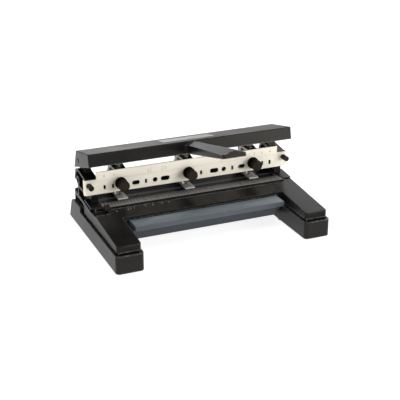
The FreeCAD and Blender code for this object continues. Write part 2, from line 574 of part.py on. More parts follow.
class Piece:
    """One sub-part made in a PartDesign body."""

    def __init__(self, doc, label):
        self.doc = doc
        self.body = doc.addObject("PartDesign::Body", label)
        self.body.Label = label

    def plane(self, role):
        """Return one of the body's own origin planes."""
        return [item for item in self.body.Origin.OriginFeatures if item.Role == role][0]

    def sketch(self, role, offset, outline):
        """Draw an outline on a plane of the body, moved by offset along its normal."""
        sketch = self.body.newObject("Sketcher::SketchObject", self.body.Name + "Sketch")
        sketch.AttachmentSupport = [(self.plane(role), "")]
        sketch.MapMode = "FlatFace"
        sketch.setExpression("AttachmentOffset.Base.z", Dim.of(offset).text)
        for points in outline.polygons:
            self.draw_polygon(sketch, points)
        for across, along, radius in outline.circles:
            self.draw_circle(sketch, across, along, radius)
        for across, along, half, radius in outline.slots:
            self.draw_slot(sketch, across, along, half, radius)
        return sketch

    def bind(self, sketch, constraint, size):
        """Add a constraint and bind it to a size."""
        index = sketch.addConstraint(constraint)
        sketch.setExpression("Constraints[%d]" % index, size.text)

    def place_point(self, sketch, geometry, point, across, along):
        """Hold a point of a sketch at two sizes from the sketch's origin."""
        for kind, size in (("DistanceX", across), ("DistanceY", along)):
            self.bind(sketch, Sketcher.Constraint(kind, -1, 1, geometry, point, size.value), size)

    def draw_polygon(self, sketch, points):
        """Draw a polygon whose corners are held by sizes."""
        first = sketch.GeometryCount
        count = len(points)
        for index, (across, along) in enumerate(points):
            next_across, next_along = points[(index + 1) % count]
            start = FreeCAD.Vector(across.value, along.value, 0)
            end = FreeCAD.Vector(next_across.value, next_along.value, 0)
            sketch.addGeometry(Part.LineSegment(start, end), False)
        for index in range(count):
            following = first + (index + 1) % count
            sketch.addConstraint(Sketcher.Constraint("Coincident", first + index, 2, following, 1))
        for index, (across, along) in enumerate(points):
            self.place_point(sketch, first + index, 1, across, along)

    def draw_circle(self, sketch, across, along, radius):
        """Draw a circle held by sizes."""
        centre = FreeCAD.Vector(across.value, along.value, 0)
        circle = sketch.addGeometry(Part.Circle(centre, FreeCAD.Vector(0, 0, 1), radius.value), False)
        self.place_point(sketch, circle, 3, across, along)
        self.bind(sketch, Sketcher.Constraint("Radius", circle, radius.value), radius)

    def draw_slot(self, sketch, across, along, half, radius):
        """Draw a slot: a circle where it has no straight part, otherwise two lines and two arcs."""
        if half.value == 0:
            self.draw_circle(sketch, across, along, radius)
            return
        step = FreeCAD.Vector(half.value, 0, 0)
        side = FreeCAD.Vector(0, radius.value, 0)
        centre = FreeCAD.Vector(across.value, along.value, 0)
        normal = FreeCAD.Vector(0, 0, 1)
        ahead = Part.ArcOfCircle(Part.Circle(centre + step, normal, radius.value),
                                 -math.pi / 2, math.pi / 2)
        behind = Part.ArcOfCircle(Part.Circle(centre - step, normal, radius.value),
                                  math.pi / 2, 3 * math.pi / 2)
        first = sketch.addGeometry(ahead, False)
        second = sketch.addGeometry(behind, False)
        upper = sketch.addGeometry(Part.LineSegment(centre + step + side, centre - step + side), False)
        lower = sketch.addGeometry(Part.LineSegment(centre - step - side, centre + step - side), False)
        joints = ((first, 2, upper, 1), (upper, 2, second, 1), (second, 2, lower, 1), (lower, 2, first, 1))
        for joint in joints:
            sketch.addConstraint(Sketcher.Constraint("Tangent", *joint))
        self.place_point(sketch, first, 3, across + half, along)
        self.place_point(sketch, second, 3, across - half, along)
        self.bind(sketch, Sketcher.Constraint("Radius", first, radius.value), radius)
        self.bind(sketch, Sketcher.Constraint("Radius", second, radius.value), radius)

    def add(self, role, low, high, outline):
        """Pad an outline from low to high along the axis that the plane is square to."""
        offset = -Dim.of(high) if role == "XZ_Plane" else low
        pad = self.extrude("PartDesign::Pad", role, offset, low, high, outline)
        return pad

    def cut(self, role, low, high, outline):
        """Cut an outline out from low to high along the axis that the plane is square to."""
        offset = -Dim.of(low) if role == "XZ_Plane" else high
        before = self.body.Shape.Volume
        pocket = self.extrude("PartDesign::Pocket", role, offset, low, high, outline)
        if not self.body.Shape.Volume < before:
            raise ValueError("a cut of %s removes nothing" % self.body.Label)
        return pocket

    def settle(self, feature):
        """Recompute, and stop if the feature failed."""
        self.doc.recompute()
        if "Invalid" in feature.State or "Error" in feature.State or feature.Shape.isNull():
            raise ValueError("%s failed: %s" % (feature.Name, feature.getStatusString()))
        return feature

    def extrude(self, kind, role, offset, low, high, outline):
        """Make a pad or a pocket of the outline."""
        sketch = self.sketch(role, offset, outline)
        feature = self.body.newObject(kind, self.body.Name + kind.split("::")[1])
        feature.Profile = sketch
        feature.setExpression("Length", (Dim.of(high) - Dim.of(low)).text)
        return self.settle(feature)

    def loft(self, kind, sections):
        """Join sections, each a (role, offset, outline), by a ruled loft."""
        sketches = [self.sketch(role, offset, outline) for role, offset, outline in sections]
        feature = self.body.newObject(kind, self.body.Name + "Loft")
        feature.Profile = sketches[0]
        feature.Sections = sketches[1:]
        feature.Ruled = True
        return self.settle(feature)

    def turn(self, outline):
        """Revolve an outline of radius and height about the body's Z axis."""
        sketch = self.sketch("XZ_Plane", 0, outline)
        feature = self.body.newObject("PartDesign::Revolution", self.body.Name + "Turned")
        feature.Profile = sketch
        feature.ReferenceAxis = (sketch, ["V_Axis"])
        feature.Angle = 360
        return self.settle(feature)

    def round_edges(self, radius, wanted):
        """Fillet the edges of the shape so far that wanted(edge) picks."""
        base = self.body.Tip
        names = ["Edge%d" % (index + 1) for index, edge in enumerate(base.Shape.Edges) if wanted(edge)]
        if not names:
            raise ValueError("no edge of %s to round" % self.body.Label)
        fillet = self.body.newObject("PartDesign::Fillet", self.body.Name + "Fillet")
        fillet.Base = (base, names)
        fillet.setExpression("Radius", radius.text)
        self.body.Tip = fillet
        return self.settle(fillet)

    def place(self, across=0, back=0, up=0):
        """Put the body's origin at a place of the punch."""
        for axis, size in (("x", across), ("y", back), ("z", up)):
            self.body.setExpression("Placement.Base.%s" % axis, Dim.of(size).text)
        self.doc.recompute()


def tilt(obj, angle):
    """Turn an object about the X axis by an angle in degrees."""
    turned = FreeCAD.Rotation(FreeCAD.Vector(1, 0, 0), angle.value)
    obj.Placement = FreeCAD.Placement(obj.Placement.Base, turned)
    obj.setExpression("Placement.Rotation.Angle", angle.text)


def both(size):
    """Return a size to the left and to the right of the middle."""
    return (-size, size)


def span(side, inner, outer):
    """Return low and high X of a stretch between two distances from the middle."""
    return (inner, outer) if side > 0 else (-outer, -inner)


def deck_at(s, back):
    """Return the height of the casting's sloping top at a distance from the front."""
    return s.cast_front_height + tangent(s.deck_slope) * (back - s.cast_front)


def ledge_at(s, back):
    """Return the height of the casting's ledge at the left at a distance from the front."""
    return deck_at(s, back) - s.ledge_drop


def frame_top_at(s, back):
    """Return the height of an end frame's sloping top at a distance from the front."""
    return s.frame_front_top + tangent(s.frame_slope) * (back - s.rail_back)


def u_outline(half, notch, front, step, rear, inset):
    """Return the outline of the U-shaped base, moved inwards by inset."""
    return Outline().polygon(
        (-(half - inset), front + inset),
        (-(notch + inset), front + inset),
        (-(notch + inset), step + inset),
        (notch + inset, step + inset),
        (notch + inset, front + inset),
        (half - inset, front + inset),
        (half - inset, rear - inset),
        (-(half - inset), rear - inset),
    )


def upright_at(*places):
    """Pick the upright edges at places given as (distance from the middle, distance back)."""
    def wanted(edge):
        first = edge.Vertexes[0].Point
        last = edge.Vertexes[-1].Point
        if abs(first.x - last.x) > TOUCH or abs(first.y - last.y) > TOUCH:
            return False
        return any(abs(abs(first.x) - across.value) < TOUCH and abs(first.y - back.value) < TOUCH
                   for across, back in places)
    return wanted


def along_side_at(*places):
    """Pick the edges along X at places given as (distance back, height)."""
    def wanted(edge):
        first = edge.Vertexes[0].Point
        last = edge.Vertexes[-1].Point
        if abs(first.y - last.y) > TOUCH or abs(first.z - last.z) > TOUCH:
            return False
        return any(abs(first.y - back.value) < TOUCH and abs(first.z - up.value) < TOUCH
                   for back, up in places)
    return wanted


def edges_where(test):
    """Pick the edges whose two ends both pass a test."""
    def wanted(edge):
        return all(test(vertex.Point) for vertex in edge.Vertexes)
    return wanted


def screw_places(s):
    """Return where the casting screws and the feet sit."""
    rows = (
        (s.front_foot_side, s.front_foot_back),
        (s.mid_foot_side, s.mid_foot_back),
        (s.rear_foot_side, s.rear_foot_back),
    )
    return [(side, back) for across, back in rows for side in both(across)]


def frame_screw_places(s):
    """Return where the screws of the end frames sit."""
    return [(side, back) for back in (s.frame_screw_front, s.frame_screw_rear)
            for side in both(s.frame_screw_side)]


def deck_screw_places(s):
    """Return where the screws of the deck plate sit."""
    return [(side, s.deck_screw_back) for side in both(s.deck_screw_side)]


def rounds(places, radius):
    """Return an outline of equal circles."""
    outline = Outline()
    for place in places:
        outline.circle(place, radius)
    return outline


def build_base_pan(doc, s):
    """Moulded pan that carries everything and holds the chip tray."""
    pan = Piece(doc, "base_pan")
    half = s.base_half
    notch = s.pan_notch_half
    inner = half - s.pan_wall
    back = s.base_depth
    pan.add("XY_Plane", 0, s.pan_height, u_outline(half, notch, 0, s.pan_notch_depth, back, 0))
    hump = Outline().box((-half, s.cheek_front), (half, back))
    pan.add("XY_Plane", s.pan_height, s.cheek_height, hump)
    behind = Outline().polygon(
        (s.pan_crown, s.cheek_height), (s.pan_bend, s.pan_bend_height), (back, 0),
        (back + s.past, 0), (back + s.past, s.cheek_height + s.past), (s.pan_crown, s.cheek_height + s.past),
    )
    pan.cut("YZ_Plane", -half - s.past, half + s.past, behind)
    pan.round_edges(s.pan_crown_radius, along_side_at((s.pan_crown, s.cheek_height)))
    pan.round_edges(s.pan_bend_radius, along_side_at((s.pan_bend, s.pan_bend_height)))
    pan.round_edges(s.pan_rear_radius, rear_corners(s))
    pan.round_edges(s.pan_corner_radius, upright_at((half, Dim.of(0)), (notch, Dim.of(0))))
    pan.round_edges(s.pan_foot_radius, edges_where(lambda p: abs(p.z) < TOUCH))
    pan.round_edges(s.pan_edge_radius, rim_edges(s))
    hollow_pan(s, pan, inner, notch)
    mouth = s.tray_half_width + s.tray_side_gap
    front = Outline().box((-mouth, s.pan_notch_depth - s.past),
                          (mouth, s.pan_notch_depth + s.pan_wall + s.past))
    pan.cut("XY_Plane", s.pan_floor, s.pan_height + s.past, front)
    for side in both(s.runner_place):
        runner = Outline().box(
            (side - s.runner_width / 2, s.pan_notch_depth),
            (side + s.runner_width / 2, s.tray_rear + s.pan_wall),
        )
        pan.add("XY_Plane", s.pan_floor / 2, s.tray_bottom - s.runner_gap, runner)
    pan.add("XY_Plane", 0, s.boss_height, rounds(screw_places(s), s.boss_radius))
    pan.cut("XY_Plane", -s.past, s.bore_depth, rounds(screw_places(s), s.bore_radius))
    through = rounds(screw_places(s), s.screw_radius + s.screw_clearance)
    pan.cut("XY_Plane", s.bore_depth - s.past, s.boss_height + s.past, through)
    return pan


def hollow_pan(s, pan, inner, notch):
    """Hollow the pan, open above but for a shelf under its falling rear edge."""
    back = s.base_depth
    roof = s.cheek_height - s.pan_wall
    hollow = u_outline(s.base_half, notch, 0, s.pan_notch_depth, s.pan_crown + s.pan_wall, s.pan_wall)
    pan.cut("XY_Plane", s.pan_floor, s.cheek_height + s.past, hollow)
    lean = (back - s.pan_bend) / s.pan_bend_height
    fall = s.pan_bend_drop / (s.pan_bend - s.pan_crown)
    wall = back - s.pan_back_wall
    inside = (wall - lean * (roof + fall * s.pan_crown)) / (1 - lean * fall)
    rear = Outline().polygon(
        (s.pan_crown - s.past, s.pan_floor), (wall - lean * s.pan_floor, s.pan_floor),
        (inside, roof - fall * (inside - s.pan_crown)), (s.pan_crown - s.past, roof + fall * s.past),
    )
    pan.cut("YZ_Plane", -inner, inner, rear)
    opening = Outline().box((-inner, s.pan_crown - s.past), (inner, back - s.shelf_depth))
    pan.cut("XY_Plane", s.pan_height, s.cheek_height + s.past, opening)
    pan.round_edges(s.pan_corner_radius - s.pan_wall, upright_at((inner, s.pan_wall)))


def rear_corners(s):
    """Pick the leaning edges at the rear corners of the pan."""
    def wanted(edge):
        first = edge.Vertexes[0].Point
        last = edge.Vertexes[-1].Point
        upright = abs(first.x - last.x) < TOUCH and abs(abs(first.x) - s.base_half.value) < TOUCH
        return upright and min(first.y, last.y) > s.pan_crown.value and min(first.z, last.z) < TOUCH
    return wanted


def rim_edges(s):
    """Pick the outer upper edges of the pan's rim, up to the raised part at the back."""
    def on_outline(p):
        across = min(abs(abs(p.x) - s.base_half.value), abs(abs(p.x) - s.pan_notch_half.value))
        return min(across, abs(p.y), abs(p.y - s.pan_notch_depth.value)) < TOUCH

    def wanted(edge):
        points = [vertex.Point for vertex in edge.Vertexes]
        level = all(abs(p.z - s.pan_height.value) < TOUCH and on_outline(p) for p in points)
        return level and min(p.y for p in points) < s.cheek_front.value - TOUCH
    return wanted


def build_deck_casting(doc, s):
    """Sloping upper casting with the deck, its two legs and the lands for the end frames."""
    casting = Piece(doc, "deck_casting")
    half = s.cast_half
    notch = s.cast_notch_half
    shape_outer_casting(s, casting, half, notch)
    hollow_casting(s, casting, half, notch)
    add_casting_neck(s, casting, half, notch)
    add_casting_bosses(s, casting)
    rear = s.cast_rear + s.past
    above = deck_at(s, rear) + s.past
    ledge = Outline().polygon((s.notch_rear - s.past, ledge_at(s, s.notch_rear - s.past)),
                              (rear, ledge_at(s, rear)), (rear, above), (s.notch_rear - s.past, above))
    casting.cut("YZ_Plane", -half - s.past, -s.ledge_inside, ledge)
    return casting


def shape_outer_casting(s, casting, half, notch):
    """Make the outer block of the casting with its sloping top and rounded edges."""
    crest = deck_at(s, s.cast_rear) + s.past
    outline = u_outline(half, notch, s.cast_front, s.cast_notch_depth, s.cast_rear, 0)
    casting.add("XY_Plane", s.seam_height, crest, outline)
    front = s.cast_front - s.past
    rear = s.cast_rear + s.past
    above = Outline().polygon((front, deck_at(s, front)), (rear, deck_at(s, rear)),
                              (rear, crest + s.past), (front, crest + s.past))
    casting.cut("YZ_Plane", -half - s.past, half + s.past, above)
    corners = upright_at((half, s.cast_front), (notch, s.cast_front), (half, s.cast_rear))
    casting.round_edges(s.cast_corner_radius, corners)
    casting.round_edges(s.cast_corner_radius / 2, upright_at((notch, s.cast_notch_depth)))
    slope = tangent(s.deck_slope).value
    level = s.cast_front_height.value - slope * s.cast_front.value
    casting.round_edges(s.edge_radius, edges_where(lambda p: abs(p.z - level - slope * p.y) < TOUCH))


def hollow_casting(s, casting, half, notch):
    """Cut the hollows, the tray's mouth, the recess, the guide's groove and the side windows."""
    below = s.seam_height - s.past
    above = deck_at(s, s.cast_rear) + s.past
    window = Outline().box((s.window_front, below), (s.window_rear, s.window_top))
    for side in (-1, 1):
        low, high = span(side, half - s.cast_wall - s.past, half + s.past)
        casting.cut("YZ_Plane", low, high, window)
    casting.round_edges(s.window_radius, edges_where(
        lambda p: abs(p.y - s.window_front.value) < TOUCH and abs(p.z - s.window_top.value) < TOUCH))
    leg_front = s.cast_front + s.cast_wall
    rear = s.cast_rear - s.cast_wall
    leg_rear = s.leg_hollow_rear
    land_front = s.land_hollow_front
    leg = Outline().polygon((leg_front, below), (leg_rear, below),
                            (leg_rear, deck_at(s, leg_rear) - s.cast_top),
                            (leg_front, deck_at(s, leg_front) - s.cast_top))
    land = Outline().polygon((land_front, below), (rear, below),
                             (rear, deck_at(s, rear) - s.land_thickness),
                             (land_front, deck_at(s, land_front) - s.land_thickness))
    outer = half - s.cast_wall
    stop = s.ledge_inside - s.cast_wall
    low_land = Outline().polygon((land_front, below), (rear, below),
                                 (rear, ledge_at(s, rear) - s.cast_top),
                                 (land_front, ledge_at(s, land_front) - s.cast_top))
    casting.cut("YZ_Plane", -outer, -stop, low_land)
    for side, reach in ((-1, stop), (1, outer)):
        low, high = span(side, notch + s.cast_wall, outer)
        casting.cut("YZ_Plane", low, high, leg)
        low, high = span(side, s.cavity_inside + s.cast_wall, reach)
        casting.cut("YZ_Plane", low, high, land)
    cavity = Outline().box((-s.cavity_inside, s.cast_notch_depth + s.cast_wall), (s.cavity_inside, rear))
    casting.cut("XY_Plane", below, s.ceiling_height, cavity)
    mouth = Outline().box((-s.mouth_half, s.cast_notch_depth - s.past),
                          (s.mouth_half, s.cast_notch_depth + s.cast_wall + s.past))
    casting.cut("XY_Plane", below, s.ceiling_height, mouth)
    recess = recess_outline(s, s.recess_front, s.recess_rear, 0)
    casting.cut("XY_Plane", s.platform_height, above, recess)
    rear_rim = Outline().box((-s.cavity_inside, s.recess_rear + s.cast_wall), (s.cavity_inside, rear))
    rim_ceiling = deck_at(s, s.recess_rear) - s.land_thickness
    casting.cut("XY_Plane", s.ceiling_height - s.past, rim_ceiling, rear_rim)
    groove = Outline().box((-s.groove_end, s.recess_front), (s.groove_end, s.recess_front + s.groove_width))
    casting.cut("XY_Plane", s.groove_floor, s.platform_height + s.past, groove)
    guide_notch = Outline().box((-half - s.past, s.notch_front), (-s.notch_inside, s.notch_rear))
    casting.cut("XY_Plane", s.groove_floor, above, guide_notch)
    chute = Outline().box((-s.chute_side, s.chute_front), (s.chute_side, s.chute_rear))
    casting.cut("XY_Plane", s.ceiling_height - s.past, s.platform_height + s.past, chute)


def recess_outline(s, front, rear, play):
    """Return the outline of the deck recess, or of the plate that lies in it with some play."""
    return Outline().polygon(
        (-(s.recess_left - play), front),
        (s.recess_right - play, front),
        (s.recess_right - play, s.recess_step - play),
        (s.land_inside - play, s.recess_step - play),
        (s.land_inside - play, rear),
        (-(s.land_inside - play), rear),
        (-(s.land_inside - play), s.recess_step - play),
        (-(s.recess_left - play), s.recess_step - play),
    )


def add_casting_neck(s, casting, half, notch):
    """Add the thin neck that stands inside the rim of the pan, open between the legs."""
    end = s.pan_notch_depth - s.pan_wall
    out = half - s.neck_inset
    leg = notch + s.neck_inset
    front = s.cast_front + s.neck_inset
    rear = s.cast_rear - s.neck_inset
    wall = s.neck_wall
    neck = Outline().polygon(
        (-leg, end), (-leg, front), (-out, front), (-out, rear),
        (out, rear), (out, front), (leg, front), (leg, end),
        (leg + wall, end), (leg + wall, front + wall), (out - wall, front + wall), (out - wall, rear - wall),
        (-(out - wall), rear - wall), (-(out - wall), front + wall), (-(leg + wall), front + wall),
        (-(leg + wall), end),
    )
    casting.add("XY_Plane", s.boss_height, s.seam_height + s.neck_overlap, neck)


def add_casting_bosses(s, casting):
    """Add the bosses for the screws from below, and the holes of all screws."""
    for place in screw_places(s):
        tall = place[1] is s.rear_foot_back
        top = s.ceiling_height + s.past if tall else deck_at(s, place[1]) - s.cast_top / 2
        casting.add("XY_Plane", s.boss_height, top, rounds([place], s.cast_boss_radius))
    for place in frame_screw_places(s):
        top = deck_at(s, place[1]) - s.land_thickness / 2
        casting.add("XY_Plane", s.frame_screw_seat, top, rounds([place], s.cast_boss_radius))
    thread = rounds(screw_places(s), s.screw_radius + s.running_fit)
    casting.cut("XY_Plane", s.boss_height - s.past, s.boss_height + s.screw_reach + s.blind_end, thread)
    through = rounds(frame_screw_places(s), s.frame_screw_radius + s.screw_clearance)
    casting.cut("XY_Plane", s.frame_screw_seat - s.past, deck_at(s, s.cast_rear), through)
    thread = rounds(deck_screw_places(s), s.deck_screw_radius + s.running_fit)
    casting.cut("XY_Plane", s.ceiling_height - s.past, s.platform_height + s.past, thread)


def build_deck_plate(doc, s):
    """Steel plate that the die feet slide on, with a slot for the chips under each punch."""
    plate = Piece(doc, "deck_plate")
    top = s.platform_height + s.deck_thickness
    plate.add("XY_Plane", s.platform_height, top, recess_outline(s, s.deck_front, s.deck_rear, s.deck_play))
    slots = Outline()
    for place in head_places(s):
        slots.slot((place, s.pin_back), s.clamp_travel, s.deck_slot_radius)
    plate.cut("XY_Plane", s.platform_height - s.past, top + s.past, slots)
    reach = s.land_inside - s.deck_play
    groove = Outline().box((-reach, s.deck_groove_front), (reach, s.deck_groove_front + s.deck_groove_width))
    plate.cut("XY_Plane", top - s.deck_groove_depth, top + s.past, groove)
    plate.cut("XY_Plane", s.platform_height - s.past, top + s.past,
              rounds(deck_screw_places(s), s.deck_screw_radius + s.screw_clearance))
    plate.cut("XY_Plane", top - s.deck_screw_head_height, top + s.past,
              rounds(deck_screw_places(s), s.deck_screw_head + s.screw_clearance))
    return plate


def build_ruler_strip(doc, s):
    """Thin scale strip along the front of the deck plate."""
    strip = Piece(doc, "ruler_strip")
    bottom = s.platform_height + s.deck_thickness
    front = s.deck_front + s.ruler_setback
    outline = Outline().box((-s.ruler_left, front), (s.ruler_right, front + s.ruler_width))
    strip.add("XY_Plane", bottom, bottom + s.ruler_thickness, outline)
    return strip


def build_paper_guide(doc, s):
    """Side guide that slides in the groove in front of the ruler strip."""
    guide = Piece(doc, "paper_guide")
    front = s.recess_front + s.guide_play
    rear = s.recess_front + s.groove_width - s.guide_play
    over_ruler = s.platform_height + s.deck_thickness + s.ruler_thickness + s.guide_lift
    over_deck = deck_at(s, s.recess_front) + s.guide_lift
    shoulder = s.guide_height - s.guide_peak
    outline = Outline().polygon(
        (front, s.groove_floor), (rear, s.groove_floor), (rear, over_ruler), (s.guide_reach, over_ruler),
        (s.guide_reach, shoulder), ((front + rear) / 2, s.guide_height),
        (front - s.guide_brow, shoulder), (front - s.guide_brow, over_deck), (front, over_deck),
    )
    guide.add("YZ_Plane", -s.guide_place - s.guide_width / 2, -s.guide_place + s.guide_width / 2, outline)
    return guide


def build_chip_tray(doc, s):
    """Tray for the chips; it slides out to the front on the pan's runners."""
    tray = Piece(doc, "chip_tray")
    half = s.tray_half_width
    wall = s.tray_wall
    outline = Outline().polygon(
        (s.lip_front, s.lip_bottom), (s.lip_back, s.lip_bottom), (s.tray_front, s.tray_bottom),
        (s.tray_rear, s.tray_bottom), (s.tray_rear, s.tray_top), (s.lip_front, s.tray_top),
    )
    tray.add("YZ_Plane", -half, half, outline)
    tray.round_edges(s.tray_edge_radius, edges_where(
        lambda p: abs(p.y - s.lip_front.value) < TOUCH and abs(p.z - s.tray_top.value) < TOUCH))
    hollow = Outline().polygon(
        (s.lip_front + wall, s.lip_bottom + wall), (s.lip_back + wall / 2, s.lip_bottom + wall),
        (s.tray_front + wall / 2, s.tray_bottom + wall), (s.tray_rear - wall, s.tray_bottom + wall),
        (s.tray_rear - wall, s.tray_top + s.past), (s.lip_cover, s.tray_top + s.past),
        (s.lip_cover, s.tray_top - wall), (s.lip_front + wall, s.tray_top - wall),
    )
    tray.cut("YZ_Plane", -half + wall, half - wall, hollow)
    return tray


def build_end_frame(doc, s, label, side):
    """Ribbed die-cast frame at one end: it carries the rail in front and the lever's rod on top."""
    frame = Piece(doc, label)
    rim = s.frame_rim
    front = s.rail_back
    foot = s.frame_foot_rear
    outline = Outline().polygon(
        (front, deck_at(s, front)), (foot, deck_at(s, foot)), (s.frame_shoulder, s.frame_shoulder_height),
        (s.frame_top_rear, frame_top_at(s, s.frame_top_rear)), (front, s.frame_front_top),
    )
    low, high = span(side, s.frame_inside, s.frame_outside)
    frame.add("YZ_Plane", low, high, outline)
    foot_line = deck_at(s, foot).value + TOUCH
    frame.round_edges(s.frame_edge_radius, edges_where(
        lambda p: abs(abs(p.x) - s.frame_outside.value) < TOUCH and p.z > foot_line))
    inner = front + s.frame_front_rim
    field = Outline().polygon(
        (inner, deck_at(s, inner) + rim), (foot - s.frame_back_rim, deck_at(s, foot) + rim),
        (s.frame_shoulder - s.frame_back_rim, s.frame_shoulder_height - rim),
        (s.frame_top_rear, frame_top_at(s, s.frame_top_rear) - rim), (inner, frame_top_at(s, inner) - rim),
    )
    low, high = span(side, s.frame_web, s.frame_outside + s.past)
    frame.cut("YZ_Plane", low, high, field)
    open_frame_foot(s, frame, low, high)
    low, high = span(side, s.frame_inside - s.past, s.frame_inside + s.frame_inner_recess)
    frame.cut("YZ_Plane", low, high, field)
    low, high = span(side, s.frame_web - s.past, s.frame_outside)
    width = s.frame_rib_width
    level = Outline().box((front + s.past, s.frame_rib_bottom), (s.ring_place, s.frame_rib_bottom + width))
    frame.add("YZ_Plane", low, high, level)
    ahead = s.ring_place - width / 2
    behind = s.ring_place + width / 2
    upright = Outline().polygon((ahead, deck_at(s, ahead)), (behind, deck_at(s, behind)),
                                (behind, s.ring_height), (ahead, s.ring_height))
    frame.add("YZ_Plane", low, high, upright)
    back_rib = Outline().box((s.ring_place, s.ring_height - width / 2),
                             (s.frame_shoulder + rim / 2, s.ring_height + width / 2))
    frame.add("YZ_Plane", low, high, back_rib)
    low, high = span(side, s.frame_inside + s.past, s.frame_outside)
    frame.add("YZ_Plane", low, high, Outline().circle((s.ring_place, s.ring_height), s.ring_radius))
    low, high = span(side, s.frame_inside - s.past, s.frame_outside + s.past)
    frame.cut("YZ_Plane", low, high, Outline().circle((s.ring_place, s.ring_height), s.ring_hole))
    add_frame_ear(s, frame, side)
    toe = Outline().polygon(
        (s.toe_front, deck_at(s, s.toe_front)), (s.toe_rear, deck_at(s, s.toe_rear)),
        (s.toe_rear, deck_at(s, s.toe_rear) + s.toe_height),
        (s.toe_front, deck_at(s, s.toe_front) + s.toe_height),
    )
    low, high = span(side, s.toe_inside, s.frame_outside)
    frame.add("YZ_Plane", low, high, toe)
    if side < 0:
        leg = Outline().polygon((ahead, ledge_at(s, ahead)), (behind, ledge_at(s, behind)),
                                (behind, s.frame_rib_bottom), (ahead, s.frame_rib_bottom))
        frame.add("YZ_Plane", -s.frame_outside, -s.ledge_inside - s.deck_play, leg)
    cut_frame_holes(s, frame, side)
    return frame


def open_frame_foot(s, frame, low, high):
    """Take the outer rims away below the level and the rear rib, down to the web."""
    front = s.rail_back - s.past
    foot = s.frame_foot_rear + s.past
    rear_rib_bottom = s.ring_height - s.frame_rib_width / 2
    below = Outline().polygon(
        (front, deck_at(s, front) - s.past), (foot, deck_at(s, foot) - s.past), (foot, rear_rib_bottom),
        (s.ring_place, rear_rib_bottom), (s.ring_place, s.frame_rib_bottom), (front, s.frame_rib_bottom),
    )
    frame.cut("YZ_Plane", low, high, below)


def add_frame_ear(s, frame, side):
    """Add the ear that holds the pivot rod."""
    low, high = span(side, s.ear_inside, s.ear_outside)
    root = Outline().polygon(
        (s.ear_front, s.ear_root), (s.ear_rear, s.ear_root), (s.pivot_back + s.ear_radius, s.pivot_height),
        (s.pivot_back - s.ear_radius, s.pivot_height),
    )
    frame.add("YZ_Plane", low, high, root)
    frame.add("YZ_Plane", low, high, Outline().circle((s.pivot_back, s.pivot_height), s.ear_radius))
    bore = Outline().circle((s.pivot_back, s.pivot_height), s.rod_radius + s.running_fit)
    frame.cut("YZ_Plane", low - s.past, high + s.past, bore)


def cut_frame_holes(s, frame, side):
    """Cut the threaded holes for the rail screw and for the screws from below."""
    across = s.stud_place if side > 0 else -s.stud_place
    stud = Outline().circle((across, s.rail_bottom + s.stud_height), s.stud_shank + s.running_fit)
    frame.cut("XZ_Plane", s.rail_back - s.past, s.rail_back + s.frame_front_rim + s.past, stud)
    places = [place for place in frame_screw_places(s) if place[0].value * side > 0]
    low = deck_at(s, s.frame_screw_front) - s.past * 2
    high = s.frame_screw_seat + s.frame_screw_reach + s.blind_end
    frame.cut("XY_Plane", low, high, rounds(places, s.frame_screw_radius + s.running_fit))


def build_rail(doc, s):
    """Sheet rail across the front; the heads are clamped behind it through its slots."""
    rail = Piece(doc, "rail")
    half = s.rail_half_length
    end_top = s.rail_bottom + s.rail_end_height
    outline = Outline().polygon(
        (-half, s.rail_bottom), (half, s.rail_bottom), (half, end_top), (s.rail_step, end_top),
        (s.rail_step, s.rail_bottom + s.rail_height), (-s.rail_step, s.rail_bottom + s.rail_height),
        (-s.rail_step, end_top), (-half, end_top),
    )
    rail.add("XZ_Plane", s.rail_front, s.rail_back, outline)
    for side in (-1, 1):
        low, high = span(side, half - s.rail_thickness, half)
        lip = Outline().box((s.rail_front + s.rail_thickness / 2, s.rail_bottom),
                            (s.rail_front + s.rail_lip, end_top))
        rail.add("YZ_Plane", low, high, lip)
    rail.round_edges(s.rail_bend, upright_at((half, s.rail_front)))
    holes = Outline()
    up = s.rail_bottom + s.hole_height
    for name, _place, _half, _radius in RAIL_HOLES:
        for side in both(getattr(s, name + "_place")):
            holes.slot((side, up), getattr(s, name + "_half"), getattr(s, name + "_radius"))
    for name, _place, _width, _height in RAIL_SLITS:
        width = getattr(s, name + "_width")
        height = getattr(s, name + "_height")
        for side in both(getattr(s, name + "_place")):
            holes.box((side - width, up - height), (side + width, up + height))
    for place in head_places(s):
        knob = (place - s.clamp_offset, s.rail_bottom + s.knob_height)
        holes.slot(knob, s.clamp_travel, s.clamp_slot_radius)
    for side in both(s.stud_place):
        holes.circle((side, s.rail_bottom + s.stud_height), s.stud_shank + s.rail_hole_clearance)
    rail.cut("XZ_Plane", s.rail_front - s.past, s.rail_back + s.past, holes)
    return rail


